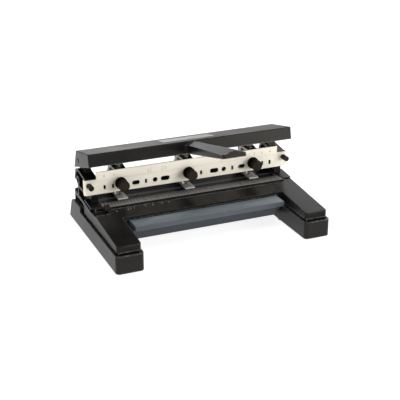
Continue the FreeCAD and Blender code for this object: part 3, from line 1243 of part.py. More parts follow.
def build_lever_shell(doc, s):
    """T-shaped lever: a hollow crossbar with a hollow handle to the front."""
    lever = Piece(doc, "lever_shell")
    half = s.lever_half_length
    front = -s.lever_front_u
    bar = Outline().polygon(
        (front, s.lever_front_bottom_v), (s.lever_rear_bottom_u, s.lever_rear_bottom_v),
        (s.lever_rear_top_u, s.lever_top_v), (front, s.lever_top_v),
    )
    lever.add("YZ_Plane", -half, half, bar)
    lever.round_edges(s.lever_end_radius, upright_at((half, front)))
    add_handle(s, lever)
    fall = (s.lever_rear_bottom_u - s.lever_rear_top_u) / (s.lever_top_v - s.lever_rear_bottom_v)
    ceiling = s.lever_top_v - s.lever_wall
    below = s.lever_rear_bottom_v - s.lever_wall
    hollow = Outline().polygon(
        (front + s.lever_wall, below),
        (s.lever_rear_bottom_u + fall * s.lever_wall - s.lever_rear_wall, below),
        (s.lever_rear_top_u + fall * s.lever_wall - s.lever_rear_wall, ceiling),
        (front + s.lever_wall, ceiling),
    )
    lever.cut("YZ_Plane", -half + s.lever_wall, half - s.lever_wall, hollow)
    add_webs(s, lever)
    bore = Outline().circle((0, 0), s.rod_radius + s.running_fit)
    lever.cut("YZ_Plane", -half - s.past, half + s.past, bore)
    place_on_lever(s, lever)
    return lever


def handle_box(half, top, bottom):
    """Return one cross-section of the handle before its top is sloped."""
    return Outline().box((-half, bottom), (half, top))


def handle_roof(s, half, ridge, edge):
    """Return what is cut from above one cross-section to leave a roof-shaped top."""
    reach = s.handle_end_half * 2
    low = ridge - (ridge - edge) * reach / half
    high = s.lever_top_v + s.past
    return Outline().polygon((-reach, low), (0, ridge), (reach, low), (reach, high), (-reach, high))


def handle_inside(s, half, ridge, edge, bottom):
    """Return one cross-section of the handle's hollow, open below."""
    wall = s.handle_wall
    inner = half - wall
    return Outline().polygon((-inner, bottom - wall), (inner, bottom - wall), (inner, edge - wall),
                             (0, ridge - wall), (-inner, edge - wall))


def add_handle(s, lever):
    """Add the tapering handle, round its corners, slope its top and hollow it from below."""
    front = s.lever_front_u
    end = s.handle_end_u
    root_size = (s.handle_root_half, s.handle_ridge_v, s.handle_edge_v)
    end_size = (s.handle_end_half, s.handle_end_ridge_v, s.handle_end_edge_v)
    root_box = handle_box(s.handle_root_half, s.handle_ridge_v, s.lever_front_bottom_v)
    end_box = handle_box(s.handle_end_half, s.handle_end_ridge_v, s.handle_end_bottom_v)
    lever.loft("PartDesign::AdditiveLoft", [
        ("XZ_Plane", front - s.lever_wall, root_box), ("XZ_Plane", end, end_box)])
    lever.round_edges(s.handle_tip_radius, upright_at((s.handle_end_half, -end)))
    spread = (s.handle_end_half - s.handle_root_half) / (end - front + s.lever_wall)
    lever.round_edges(s.handle_root_radius, upright_at((s.handle_root_half + spread * s.lever_wall, -front)))
    lever.loft("PartDesign::SubtractiveLoft", [
        ("XZ_Plane", front, handle_roof(s, *root_size)),
        ("XZ_Plane", end + s.past, handle_roof(s, *end_size))])
    lever.round_edges(s.lever_edge_radius, edges_where(lambda p: abs(p.z - s.lever_top_v.value) < TOUCH))
    lever.loft("PartDesign::SubtractiveLoft", [
        ("XZ_Plane", front, handle_inside(s, *root_size, s.lever_front_bottom_v)),
        ("XZ_Plane", end - s.handle_wall, handle_inside(s, *end_size, s.handle_end_bottom_v))])


def add_webs(s, lever):
    """Add the cross webs under the crossbar that hold the presser bar."""
    across, up = presser_place(s)
    top = s.lever_top_v - s.lever_wall / 2
    web = Outline().polygon(
        (across - s.web_half_width, top), (across - s.web_tip, up - s.web_tip),
        (across + s.web_tip, up - s.web_tip), (across + s.web_half_width, top),
    )
    for place in (s.web_inner_place, s.web_outer_place):
        for side in both(place):
            lever.add("YZ_Plane", side - s.web_thickness / 2, side + s.web_thickness / 2, web)
            bore = Outline().circle((across, up), s.presser_radius + s.running_fit)
            lever.cut("YZ_Plane", side - s.web_thickness, side + s.web_thickness, bore)


def presser_place(s):
    """Return the presser bar's place along and square to the lever's top, from the pivot."""
    turned = s.lever_rest_angle
    across = -s.presser_arm * cosine(turned) - s.presser_rise * sine(turned)
    up = s.presser_rise * cosine(turned) - s.presser_arm * sine(turned)
    return across, up


def place_on_lever(s, piece):
    """Put a piece drawn from the pivot where the lever stands at rest."""
    piece.place(0, s.pivot_back - s.origin_setback, s.pivot_height + s.foot_drop)
    tilt(piece.body, -s.lever_rest_angle)


def build_presser_bar(doc, s):
    """Round bar under the crossbar that presses on the heads of the punch pins."""
    bar = Piece(doc, "presser_bar")
    outline = Outline().circle(presser_place(s), s.presser_radius)
    bar.add("YZ_Plane", -s.presser_half, s.presser_half, outline)
    place_on_lever(s, bar)
    return bar


def build_label_plate(doc, s):
    """Plain plate on top of the crossbar."""
    plate = Piece(doc, "label_plate")
    outline = Outline().box((-s.label_half, -s.label_front_u), (s.label_half, -s.label_rear_u))
    plate.add("XY_Plane", s.lever_top_v, s.lever_top_v + s.label_thickness, outline)
    corners = upright_at((s.label_half, -s.label_front_u), (s.label_half, -s.label_rear_u))
    plate.round_edges(s.label_corner_radius, corners)
    place_on_lever(s, plate)
    return plate


def head_places(s):
    """Return the places of the three heads from left to right."""
    return (-s.head_pitch, Dim.of(0), s.head_pitch)


def build_head_block(doc, s, label):
    """Moulded block that guides the pin; its throat takes the paper."""
    block = Piece(doc, label)
    half = s.head_half
    front = s.rail_back + s.head_gap
    crest = s.head_front_top + s.head_rise
    outline = Outline().polygon(
        (front, s.head_shoulder), (s.head_nose, s.head_shoulder), (s.head_nose, s.throat_top),
        (s.throat_back, s.throat_top), (s.throat_back, s.die_top), (s.head_rear, s.die_top),
        (s.head_rear, crest), (front, s.head_front_top),
    )
    block.add("YZ_Plane", -half, half, outline)
    block.round_edges(s.head_edge_radius, edges_where(lambda p: p.z > s.head_front_top.value - TOUCH))
    bore = Outline().circle((0, s.pin_back), s.pin_radius + s.running_fit)
    block.cut("XY_Plane", s.die_top, crest + s.past, bore)
    pocket = Outline().circle((0, s.pin_back), s.pocket_radius)
    block.cut("XY_Plane", s.pocket_floor, crest + s.past, pocket)
    screw = (-s.clamp_offset, s.rail_bottom + s.knob_height)
    clamp = Outline().circle(screw, s.clamp_radius + s.running_fit)
    block.cut("XZ_Plane", front - s.past, front + s.clamp_depth + s.blind_end, clamp)
    return block


def build_head_bracket(doc, s, label):
    """Sheet bracket with the die in its foot and a side plate beside the block."""
    bracket = Piece(doc, label)
    low = -s.head_half - s.bracket_thickness
    inner = s.throat_back + s.bracket_leg_gap
    foot = Outline().polygon(
        (-s.die_left, s.die_front), (s.die_right, s.die_front), (s.die_right, s.die_rear),
        (low, s.die_rear), (low, inner), (-s.die_left, inner),
    )
    bracket.add("XY_Plane", s.die_bottom, s.die_top, foot)
    side = Outline().polygon(
        (s.bracket_front, s.bracket_bottom), (inner, s.bracket_bottom), (inner, s.die_bottom),
        (s.die_rear, s.die_bottom), (s.die_rear, s.bracket_bend_height), (s.bracket_top_rear, s.bracket_top),
        (s.bracket_front, s.bracket_top),
    )
    bracket.add("YZ_Plane", low, -s.head_half, side)
    bracket.round_edges(s.bracket_corner_radius, along_side_at(
        (s.bracket_front, s.bracket_bottom), (s.bracket_front, s.bracket_top),
        (s.bracket_top_rear, s.bracket_top), (s.die_rear, s.bracket_bend_height)))
    sill = s.bracket_bottom + s.bracket_sill
    back = s.die_rear - s.bracket_leg
    top = s.bracket_top - s.bracket_rim
    window = Outline().polygon(
        (s.bracket_front + s.bracket_rim, sill), (back, sill), (back, s.bracket_bend_height - s.bracket_rim),
        (s.bracket_top_rear - s.bracket_leg / 2, top), (s.bracket_front + s.bracket_rim, top),
    )
    bracket.cut("YZ_Plane", low - s.past, -s.head_half + s.past, window)
    die = Outline().circle((0, s.pin_back), s.pin_radius + s.running_fit)
    bracket.cut("XY_Plane", s.die_bottom - s.past, s.die_top + s.past, die)
    return bracket


def build_head_pin(doc, s, label):
    """Punch pin with a round head."""
    pin = Piece(doc, label)
    top = s.pin_top
    under = top - s.cap_height
    pin.turn(Outline().polygon(
        (0, s.pin_tip), (s.pin_radius, s.pin_tip), (s.pin_radius, under),
        (s.cap_radius, under), (s.cap_radius, top - s.knob_chamfer), (s.cap_radius - s.knob_chamfer, top),
        (0, top),
    ))
    return pin


def build_head_spring(doc, s, label):
    """Coil spring that lifts the pin and, through it, the lever."""
    spring = Piece(doc, label)
    low = s.pocket_floor + s.spring_seat_gap + s.wire_radius
    high = s.pin_top - s.cap_height - s.spring_seat_gap - s.wire_radius
    wire = spring.sketch("XZ_Plane", 0, Outline().circle((s.spring_radius, low), s.wire_radius))
    coil = spring.body.newObject("PartDesign::AdditiveHelix", spring.body.Name + "Coil")
    coil.Profile = wire
    coil.ReferenceAxis = (wire, ["V_Axis"])
    coil.Mode = 0
    coil.setExpression("Height", (high - low).text)
    coil.setExpression("Pitch", ((high - low) / s.spring_turns).text)
    doc.recompute()
    return spring


def build_head_knob(doc, s, label):
    """Fluted knob that clamps a head to the rail."""
    knob = Piece(doc, label)
    length = s.knob_length
    grip = length - s.knob_grip
    knob.turn(Outline().polygon(
        (0, 0), (s.knob_back_radius, 0), (s.knob_back_radius, s.knob_collar),
        (s.knob_waist_radius, s.knob_collar), (s.knob_waist_radius, grip), (s.knob_front_radius, grip),
        (s.knob_front_radius, length - s.knob_chamfer), (s.knob_front_radius - s.knob_chamfer, length),
        (0, length),
    ))
    flute = Outline().circle((s.knob_front_radius + s.knob_flute_radius / 2, 0), s.knob_flute_radius)
    cut = knob.cut("XY_Plane", grip - s.past, length + s.past, flute)
    ring = knob.body.newObject("PartDesign::PolarPattern", knob.body.Name + "Flutes")
    ring.Originals = [cut]
    ring.Axis = (cut.Profile[0], ["N_Axis"])
    ring.Angle = 360
    ring.Occurrences = KNOB_FLUTES
    knob.body.Tip = ring
    doc.recompute()
    bore = Outline().circle((0, 0), s.clamp_radius + s.running_fit)
    knob.cut("XY_Plane", -s.past, s.clamp_grip + s.blind_end, bore)
    return knob


def build_head_stud(doc, s, label):
    """Clamp screw from the knob through the rail into the head."""
    stud = Piece(doc, label)
    reach = s.rail_thickness + s.head_gap + s.clamp_depth
    stud.add("XY_Plane", -reach, s.clamp_grip, Outline().circle((0, 0), s.clamp_radius))
    return stud


def place_head_piece(s, piece, place, kind):
    """Put one piece of a head at its place along the rail."""
    back = -s.origin_setback
    up = s.foot_drop
    if kind in ("pin", "spring"):
        back = s.pin_back - s.origin_setback
    if kind in ("knob", "stud"):
        place = place - s.clamp_offset
        back = s.rail_front - s.origin_setback
        up = s.foot_drop + s.rail_bottom + s.knob_height
        forward = FreeCAD.Rotation(FreeCAD.Vector(1, 0, 0), 90)
        piece.body.Placement = FreeCAD.Placement(FreeCAD.Vector(), forward)
    piece.place(place, back, up)


def build_heads(doc, s):
    """Build the three punch heads, six pieces each."""
    builders = (
        ("block", build_head_block), ("bracket", build_head_bracket), ("pin", build_head_pin),
        ("spring", build_head_spring), ("knob", build_head_knob), ("stud", build_head_stud),
    )
    pieces = []
    for side, place in zip(("left", "middle", "right"), head_places(s)):
        for kind, build in builders:
            piece = build(doc, s, "head_%s_%s" % (side, kind))
            place_head_piece(s, piece, place, kind)
            pieces.append(piece)
    return pieces


def add_cylinder(doc, name, radius, length, place, axis):
    """Add a Part cylinder from a place along +X, +Y or +Z, with every size bound to the sheet."""
    turns = {
        "x": FreeCAD.Rotation(FreeCAD.Vector(0, 1, 0), 90),
        "y": FreeCAD.Rotation(FreeCAD.Vector(1, 0, 0), -90),
        "z": FreeCAD.Rotation(),
    }
    cylinder = doc.addObject("Part::Cylinder", name)
    cylinder.Placement = FreeCAD.Placement(FreeCAD.Vector(), turns[axis])
    cylinder.setExpression("Radius", Dim.of(radius).text)
    cylinder.setExpression("Height", Dim.of(length).text)
    for letter, size in zip("xyz", place):
        cylinder.setExpression("Placement.Base.%s" % letter, Dim.of(size).text)
    return cylinder


def fuse(doc, name, first, second):
    """Join two Part objects."""
    joined = doc.addObject("Part::Fuse", name)
    joined.Base = first
    joined.Tool = second
    return joined


def group(doc, label, members):
    """Keep equal loose pieces together as separate solids of one node."""
    compound = doc.addObject("Part::Compound", label)
    compound.Label = label
    compound.Links = members
    doc.recompute()
    return compound


def build_feet(doc, s):
    """Rubber feet: a disc below the pan and a stem in its counterbore."""
    feet = []
    for index, (across, along) in enumerate(screw_places(s)):
        back = along - s.origin_setback
        disc = add_cylinder(doc, "FootDisc%d" % index, s.foot_radius, s.foot_drop, (across, back, 0), "z")
        stem = add_cylinder(doc, "FootStem%d" % index, s.bore_radius - s.running_fit,
                            s.foot_drop + s.foot_stem, (across, back, 0), "z")
        feet.append(fuse(doc, "Foot%d" % index, disc, stem))
    return group(doc, "rubber_feet", feet)


def build_upright_screws(doc, s, label, places, head, shank):
    """Screws from below: head is (radius, height, seat), shank is (radius, length)."""
    screws = []
    for index, (across, along) in enumerate(places):
        back = along - s.origin_setback
        seat = head[2] + s.foot_drop
        cap = add_cylinder(doc, "%sHead%d" % (label, index), head[0], head[1],
                           (across, back, seat - head[1]), "z")
        rod = add_cylinder(doc, "%sRod%d" % (label, index), shank[0], shank[1] + head[1] / 2,
                           (across, back, seat - head[1] / 2), "z")
        screws.append(fuse(doc, "%s%d" % (label, index), cap, rod))
    return group(doc, label, screws)


def build_deck_screws(doc, s):
    """Flat-headed screws that hold the deck plate from above."""
    screws = []
    top = s.platform_height + s.deck_thickness + s.foot_drop
    for index, (across, along) in enumerate(deck_screw_places(s)):
        back = along - s.origin_setback
        head = add_cylinder(doc, "DeckHead%d" % index, s.deck_screw_head, s.deck_screw_head_height,
                            (across, back, top - s.deck_screw_head_height), "z")
        length = top - s.foot_drop - s.ceiling_height
        rod = add_cylinder(doc, "DeckRod%d" % index, s.deck_screw_radius, length,
                           (across, back, s.ceiling_height + s.foot_drop), "z")
        screws.append(fuse(doc, "DeckScrew%d" % index, head, rod))
    return group(doc, "deck_screws", screws)


def build_rail_screws(doc, s):
    """Round-headed screws that hold the rail to the end frames."""
    screws = []
    up = s.rail_bottom + s.stud_height + s.foot_drop
    face = s.rail_front - s.origin_setback
    for index, across in enumerate(both(s.stud_place)):
        grip = add_cylinder(doc, "StudGrip%d" % index, s.stud_radius, s.stud_grip,
                            (across, face - s.stud_length, up), "y")
        neck = add_cylinder(doc, "StudNeck%d" % index, s.stud_neck, s.stud_length - s.stud_grip / 2,
                            (across, face - s.stud_length + s.stud_grip / 2, up), "y")
        collar = add_cylinder(doc, "StudCollar%d" % index, s.stud_radius, s.stud_collar,
                              (across, face - s.stud_collar, up), "y")
        rod = add_cylinder(doc, "StudRod%d" % index, s.stud_shank, s.stud_reach + s.stud_length / 2,
                           (across, face - s.stud_length / 2, up), "y")
        head = fuse(doc, "StudHead%d" % index, grip, neck)
        body = fuse(doc, "StudBody%d" % index, head, collar)
        screws.append(fuse(doc, "Stud%d" % index, body, rod))
    return group(doc, "rail_screws", screws)


def build_pivot_rod(doc, s):
    """Rod that both ears hold and that the lever turns on."""
    half = s.lever_half_length - s.rod_inset
    rod = add_cylinder(doc, "pivot_rod", s.rod_radius, half * 2,
                       (-half, s.pivot_back - s.origin_setback, s.pivot_height + s.foot_drop), "x")
    rod.Label = "pivot_rod"
    doc.recompute()
    return rod


def build_pivot_clips(doc, s):
    """Retaining rings on the rod beside the ears."""
    rings = []
    back = s.pivot_back - s.origin_setback
    up = s.pivot_height + s.foot_drop
    for index, side in enumerate((-1, 1)):
        outer = s.ear_inside - s.clip_gap
        low, _high = span(side, outer - s.clip_thickness, outer)
        disc = add_cylinder(doc, "ClipDisc%d" % index, s.clip_radius, s.clip_thickness, (low, back, up), "x")
        hole = add_cylinder(doc, "ClipHole%d" % index, s.rod_radius + s.running_fit,
                            s.clip_thickness + s.past * 2, (low - s.past, back, up), "x")
        ring = doc.addObject("Part::Cut", "Clip%d" % index)
        ring.Base = disc
        ring.Tool = hole
        rings.append(ring)
    return group(doc, "pivot_clips", rings)


def build_bodies(doc, s):
    """Build every piece made in a PartDesign body, placed on the table."""
    fixed = [
        build_base_pan(doc, s),
        build_deck_casting(doc, s),
        build_deck_plate(doc, s),
        build_ruler_strip(doc, s),
        build_paper_guide(doc, s),
        build_chip_tray(doc, s),
        build_end_frame(doc, s, "end_frame_left", -1),
        build_end_frame(doc, s, "end_frame_right", 1),
        build_rail(doc, s),
    ]
    for piece in fixed:
        piece.place(0, -s.origin_setback, s.foot_drop)
    moving = [build_lever_shell(doc, s), build_presser_bar(doc, s), build_label_plate(doc, s)]
    return [piece.body for piece in fixed + moving + build_heads(doc, s)]


def build_fasteners(doc, s):
    """Build the pieces made of Part primitives."""
    return [
        build_feet(doc, s),
        build_upright_screws(doc, s, "base_screws", screw_places(s),
                             (s.screw_head_radius, s.screw_head_height, s.bore_depth),
                             (s.screw_radius, s.boss_height - s.bore_depth + s.screw_reach)),
        build_upright_screws(doc, s, "frame_screws", frame_screw_places(s),
                             (s.frame_screw_head, s.frame_screw_head_height, s.frame_screw_seat),
                             (s.frame_screw_radius, s.frame_screw_reach)),
        build_deck_screws(doc, s),
        build_rail_screws(doc, s),
        build_pivot_rod(doc, s),
        build_pivot_clips(doc, s),
    ]


def check(doc, pieces):
    """Stop if any object failed or any piece has no valid shape."""
    for item in doc.Objects:
        if "Invalid" in item.State or "Error" in item.State:
            raise ValueError("%s failed: %s" % (item.Name, item.State))
    for piece in pieces:
        if piece.Shape.isNull() or not piece.Shape.isValid() or not piece.Shape.Solids:
            raise ValueError("%s has no valid solid" % piece.Label)


def write(pieces):
    """Write one STEP file for each piece."""
    os.makedirs("parts", exist_ok=True)
    for piece in pieces:
        piece.Shape.exportStep(os.path.join("parts", piece.Label + ".step"))
        print("%-22s %2d solid(s) %10.0f mm3" % (piece.Label, len(piece.Shape.Solids), piece.Shape.Volume))


def main():
    """Build the punch and write its pieces."""
    doc = FreeCAD.newDocument("Punch")
    sizes = Sizes(doc, SIZES, RAIL_HOLES, RAIL_SLITS)
    pieces = build_bodies(doc, sizes) + build_fasteners(doc, sizes)
    doc.recompute()
    check(doc, pieces)
    write(pieces)


main()
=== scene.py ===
"""Looks of an adjustable three-hole paper punch.

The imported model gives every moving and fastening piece. This script dresses those pieces with
procedural finishes, adds the scales and figures that are too thin to be parts of their own, and
sets up a plain studio round the punch.
"""

from __future__ import annotations

import json
import logging
import math
from dataclasses import dataclass
from enum import Enum
from typing import Any, Mapping, Optional, Sequence, Union

import bmesh
import bpy
from mathutils import Matrix, Vector


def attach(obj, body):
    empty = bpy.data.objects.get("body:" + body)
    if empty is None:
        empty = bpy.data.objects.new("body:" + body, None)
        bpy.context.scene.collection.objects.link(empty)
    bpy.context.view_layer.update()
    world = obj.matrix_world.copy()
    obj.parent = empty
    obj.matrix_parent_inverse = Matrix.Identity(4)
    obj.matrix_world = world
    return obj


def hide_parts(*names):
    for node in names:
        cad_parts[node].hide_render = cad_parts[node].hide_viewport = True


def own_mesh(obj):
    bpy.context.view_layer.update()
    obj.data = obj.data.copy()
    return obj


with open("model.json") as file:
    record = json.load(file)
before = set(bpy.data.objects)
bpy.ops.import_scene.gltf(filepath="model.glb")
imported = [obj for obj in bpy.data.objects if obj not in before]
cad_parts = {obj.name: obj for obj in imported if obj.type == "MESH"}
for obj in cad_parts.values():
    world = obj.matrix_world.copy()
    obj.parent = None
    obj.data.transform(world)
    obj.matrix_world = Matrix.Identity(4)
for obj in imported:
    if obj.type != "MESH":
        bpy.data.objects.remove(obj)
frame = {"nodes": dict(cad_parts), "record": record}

LOG = logging.getLogger("punch")
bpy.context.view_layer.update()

MM = 0.001
MIDDLE_GREY = 0.5
MESH_MERGE = 1e-7

Colour = tuple[float, float, float]
Number = Union[int, float]


class Wire:
    """One output socket of a shader graph, with arithmetic that adds Math nodes."""

    def __init__(self, graph: "Graph", socket: bpy.types.NodeSocket) -> None:
        """Keep the graph and the output socket of one of its nodes."""
        self.graph = graph
        self.socket = socket

    def __add__(self, other: "Value") -> "Wire":
        """Return this plus other."""
        return self.graph.math("ADD", self, other)

    def __radd__(self, other: Number) -> "Wire":
        """Return other plus this."""
        return self.graph.math("ADD", other, self)

    def __sub__(self, other: "Value") -> "Wire":
        """Return this minus other."""
        return self.graph.math("SUBTRACT", self, other)

    def __rsub__(self, other: Number) -> "Wire":
        """Return other minus this."""
        return self.graph.math("SUBTRACT", other, self)

    def __mul__(self, other: "Value") -> "Wire":
        """Return this times other."""
        return self.graph.math("MULTIPLY", self, other)

    def __rmul__(self, other: Number) -> "Wire":
        """Return other times this."""
        return self.graph.math("MULTIPLY", other, self)

    def __truediv__(self, other: "Value") -> "Wire":
        """Return this divided by other."""
        return self.graph.math("DIVIDE", self, other)

    def above(self, level: Number) -> "Wire":
        """Return 1 where this is above a level and 0 elsewhere."""
        return self.graph.math("GREATER_THAN", self, level)

    def below(self, level: Number) -> "Wire":
        """Return 1 where this is below a level and 0 elsewhere."""
        return self.graph.math("LESS_THAN", self, level)

    def size(self) -> "Wire":
        """Return this without its sign."""
        return self.graph.math("ABSOLUTE", self, 0.0)

    def larger(self, other: "Value") -> "Wire":
        """Return the larger of this and other."""
        return self.graph.math("MAXIMUM", self, other)

    def clamped(self) -> "Wire":
        """Return this held between 0 and 1."""
        return self.graph.math("MULTIPLY", self, 1.0, clamp=True)

    def ramp(self, low: Number, high: Number) -> "Wire":
        """Return a rise from 0 at low to 1 at high, held at both ends."""
        return ((self - low) / (high - low)).clamped()

    def line(self, place: Number, width: Number) -> "Wire":
        """Return 1 on a line at a place, falling to 0 at half its width."""
        return 1.0 - ((self - place).size() / (width / 2.0)).clamped()


Value = Union[Wire, Number]


class Graph:
    """The node tree of one material.

    EDGE_SAMPLES is how many rays look for an edge, and EDGE_TURN how far the rounded normal has
    turned where the edge mask starts and where it is full.
    """

    EDGE_SAMPLES = 6
    EDGE_TURN = (0.008, 0.14)

    def __init__(self, name: str) -> None:
        """Start a material with an empty tree and a Principled shader.

        Args:
            name: name of the material.
        """
        self.material = bpy.data.materials.new(name)
        self.material.use_nodes = True
        self.tree = self.material.node_tree
        self.tree.nodes.clear()
        self.shader = self.tree.nodes.new("ShaderNodeBsdfPrincipled")
        output = self.tree.nodes.new("ShaderNodeOutputMaterial")
        self.tree.links.new(self.shader.outputs["BSDF"], output.inputs["Surface"])

    def node(
        self,
        kind: str,
        settings: Mapping[str, Any],
        inputs: Mapping[Union[int, str], Any],
        output: Union[int, str] = 0,
    ) -> Wire:
        """Add a node.

        Args:
            kind: type of the node.
            settings: properties of the node, set first.
            inputs: value or link of each socket, by name or index.
            output: name or index of the output to return.

        Returns:
            The chosen output.
        """
        made = self.tree.nodes.new(kind)
        for key, setting in settings.items():
            setattr(made, key, setting)
        for key, value in inputs.items():
            self.feed(made.inputs[key], value)
        return Wire(self, made.outputs[output])

    def feed(self, socket: bpy.types.NodeSocket, value: Any) -> None:
        """Link a wire to a socket, or set the socket to a value.

        Args:
            socket: input socket of a node.
            value: wire, number, vector or colour; a colour of three numbers is made opaque.
        """
        if isinstance(value, Wire):
            self.tree.links.new(value.socket, socket)
        elif isinstance(value, tuple) and len(value) == 3 and len(socket.default_value) == 4:
            socket.default_value = (*value, 1.0)
        else:
            socket.default_value = value

    def math(self, operation: str, first: Value, second: Value, clamp: bool = False) -> Wire:
        """Return the result of a Math node, held between 0 and 1 where clamp is set."""
        settings = {"operation": operation, "use_clamp": clamp}
        return self.node("ShaderNodeMath", settings, {0: first, 1: second})

    def mix(self, factor: Value, low: Any, high: Any) -> Wire:
        """Return the blend of two colours.

        Args:
            factor: share of the second colour.
            low: first colour or wire.
            high: second colour or wire.

        Returns:
            The mixed colour.
        """
        return self.node("ShaderNodeMix", {"data_type": "RGBA"}, {0: factor, 6: low, 7: high}, 2)

    def position(self) -> Wire:
        """Return the point on the object, in metres, unmoved by poses."""
        return self.node("ShaderNodeTexCoord", {}, {}, "Object")

    def stretched(self, scale: Sequence[float]) -> Wire:
        """Return the point on the object with each axis scaled."""
        settings = {"operation": "MULTIPLY"}
        return self.node("ShaderNodeVectorMath", settings, {0: self.position(), 1: tuple(scale)})

    def axis(self, letter: str) -> Wire:
        """Return one coordinate of the point on the object, in millimetres."""
        return self.node("ShaderNodeSeparateXYZ", {}, {0: self.position()}, letter) / MM

    def facing(self, letter: str) -> Wire:
        """Return how far the surface faces along one axis, from -1 to 1."""
        normal = self.node("ShaderNodeNewGeometry", {}, {}, "Normal")
        return self.node("ShaderNodeSeparateXYZ", {}, {0: normal}, letter)

    def noise(
        self, vector: Wire, scale: float, detail: float = 2.0, roughness: float = 0.5
    ) -> Wire:
        """Return noise between 0 and 1.

        Args:
            vector: where to read it.
            scale: lumps per metre.
            detail: octaves.
            roughness: weight of the finer octaves.

        Returns:
            The noise value.
        """
        inputs = {"Vector": vector, "Scale": scale, "Detail": detail, "Roughness": roughness}
        return self.node("ShaderNodeTexNoise", {}, inputs, 0)

    def edge(self, radius: float) -> Wire:
        """Return 1 along edges and 0 on flats.

        Args:
            radius: how far from an edge the mask reaches, in metres.

        Returns:
            The mask.
        """
        settings = {"samples": self.EDGE_SAMPLES}
        rounded = self.node("ShaderNodeBevel", settings, {"Radius": radius}, "Normal")
        sharp = self.node("ShaderNodeNewGeometry", {}, {}, "Normal")
        settings = {"operation": "DOT_PRODUCT"}
        agreement = self.node("ShaderNodeVectorMath", settings, {0: rounded, 1: sharp}, "Value")
        return (1.0 - agreement).ramp(*self.EDGE_TURN)

    def bump(self, height: Wire, depth: float, below: Optional[Wire] = None) -> Wire:
        """Return the normal of a bumpy surface.

        Args:
            height: height between 0 and 1.
            depth: what 1 stands for, in metres.
            below: a normal to bump further.

        Returns:
            The normal.
        """
        inputs: dict[Union[int, str], Any] = {"Height": height, "Distance": depth}
        if below is not None:
            inputs["Normal"] = below
        return self.node("ShaderNodeBump", {}, inputs, 0)

    def surface(self, **sockets: Any) -> bpy.types.Material:
        """Feed the shader and finish the material.

        Args:
            **sockets: value or wire of each socket, its name with underscores for spaces.

        Returns:
            The material.
        """
        for key, value in sockets.items():
            self.feed(self.shader.inputs[key.replace("_", " ")], value)
        return self.material


@dataclass(frozen=True)
class Finish:
    """A surface finish that every other finish builds on."""

    name: str
    colour: Colour

    def material(self) -> bpy.types.Material:
        """Build the material of this finish."""
        raise NotImplementedError


@dataclass(frozen=True)
class Coating(Finish):
    """Dark paint or moulding with a fine grain, duller in places, with edge wear and painted edge
    highlights.
    """

    dust: Colour = (0.03, 0.03, 0.03)
    # Colour of edge wear; on some slots light enough to paint the highlights of rounded edges.
    worn: Colour = (0.16, 0.155, 0.15)
    wear: float = 0.55
    edge_reach: float = 0.0014
    roughness: float = 0.36
    spread: float = 0.07
    clouds: float = 22.0
    chips: float = 260.0
    grain: float = 1500.0
    speckle_share: float = 0.25
    polish: float = 0.05
    depth: float = 0.00003
    specular: float = 0.27
    gloss_tint: Colour = (1.0, 0.975, 0.94)

    def material(self) -> bpy.types.Material:
        """Build the material of this finish.

        Returns:
            The material.
        """
        graph = Graph(self.name)
        point = graph.position()
        cloud = graph.noise(point, self.clouds, 3.0)
        fine = graph.noise(point, self.grain, 1.5)
        speckle = graph.noise(point, self.grain * 0.45, 2.0).ramp(0.62, 0.75)
        # Edge mask: real edge wear, lightened further into a painted highlight of rounded edges
        # where a slot raises wear and worn colour.
        lightening = graph.edge(self.edge_reach) * graph.noise(point, self.chips, 3.0).ramp(0.30, 0.62)
        colour = graph.mix(cloud.ramp(0.35, 0.75), self.colour, self.dust)
        colour = graph.mix(speckle * self.speckle_share, colour, self.dust)
        colour = graph.mix(lightening * self.wear, colour, self.worn)
        broad = (cloud - MIDDLE_GREY) * self.spread * 2.0
        rough = broad + (fine - MIDDLE_GREY) * self.spread + self.roughness
        normal = graph.bump(fine, self.depth)
        return graph.surface(
            Base_Color=colour,
            Roughness=rough - lightening * self.polish,
            Normal=normal,
            Specular_IOR_Level=self.specular,
            Specular_Tint=self.gloss_tint,
        )


@dataclass(frozen=True)
class BrushedMetal(Finish):
    """Metal with fine lines along one axis, slight clouds and brighter edges."""

    roughness: float = 0.32
    metallic: float = 0.9
    along: Sequence[float] = (12.0, 900.0, 900.0)
    edge_reach: float = 0.0004
    depth: float = 0.00001
    tint: Colour = (0.5, 0.48, 0.44)
    worn: Colour = (0.75, 0.74, 0.72)
    wear: float = 0.3
    specular: float = 0.5

    def material(self) -> bpy.types.Material:
        """Build the material of this finish.

        Returns:
            The material.
        """
        graph = Graph(self.name)
        lines = graph.noise(graph.stretched(self.along), 1.0, 3.0, 0.6)
        cloud = graph.noise(graph.position(), 35.0, 3.0)
        share = lines.ramp(0.3, 0.75) * 0.25 + cloud.ramp(0.4, 0.8) * 0.15
        colour = graph.mix(share, self.colour, self.tint)
        colour = graph.mix(graph.edge(self.edge_reach) * self.wear, colour, self.worn)
        rough = (lines - MIDDLE_GREY) * 0.2 + (cloud - MIDDLE_GREY) * 0.12 + self.roughness
        return graph.surface(
            Base_Color=colour,
            Metallic=self.metallic,
            Roughness=rough,
            Normal=graph.bump(lines, self.depth),
            Specular_IOR_Level=self.specular,
        )


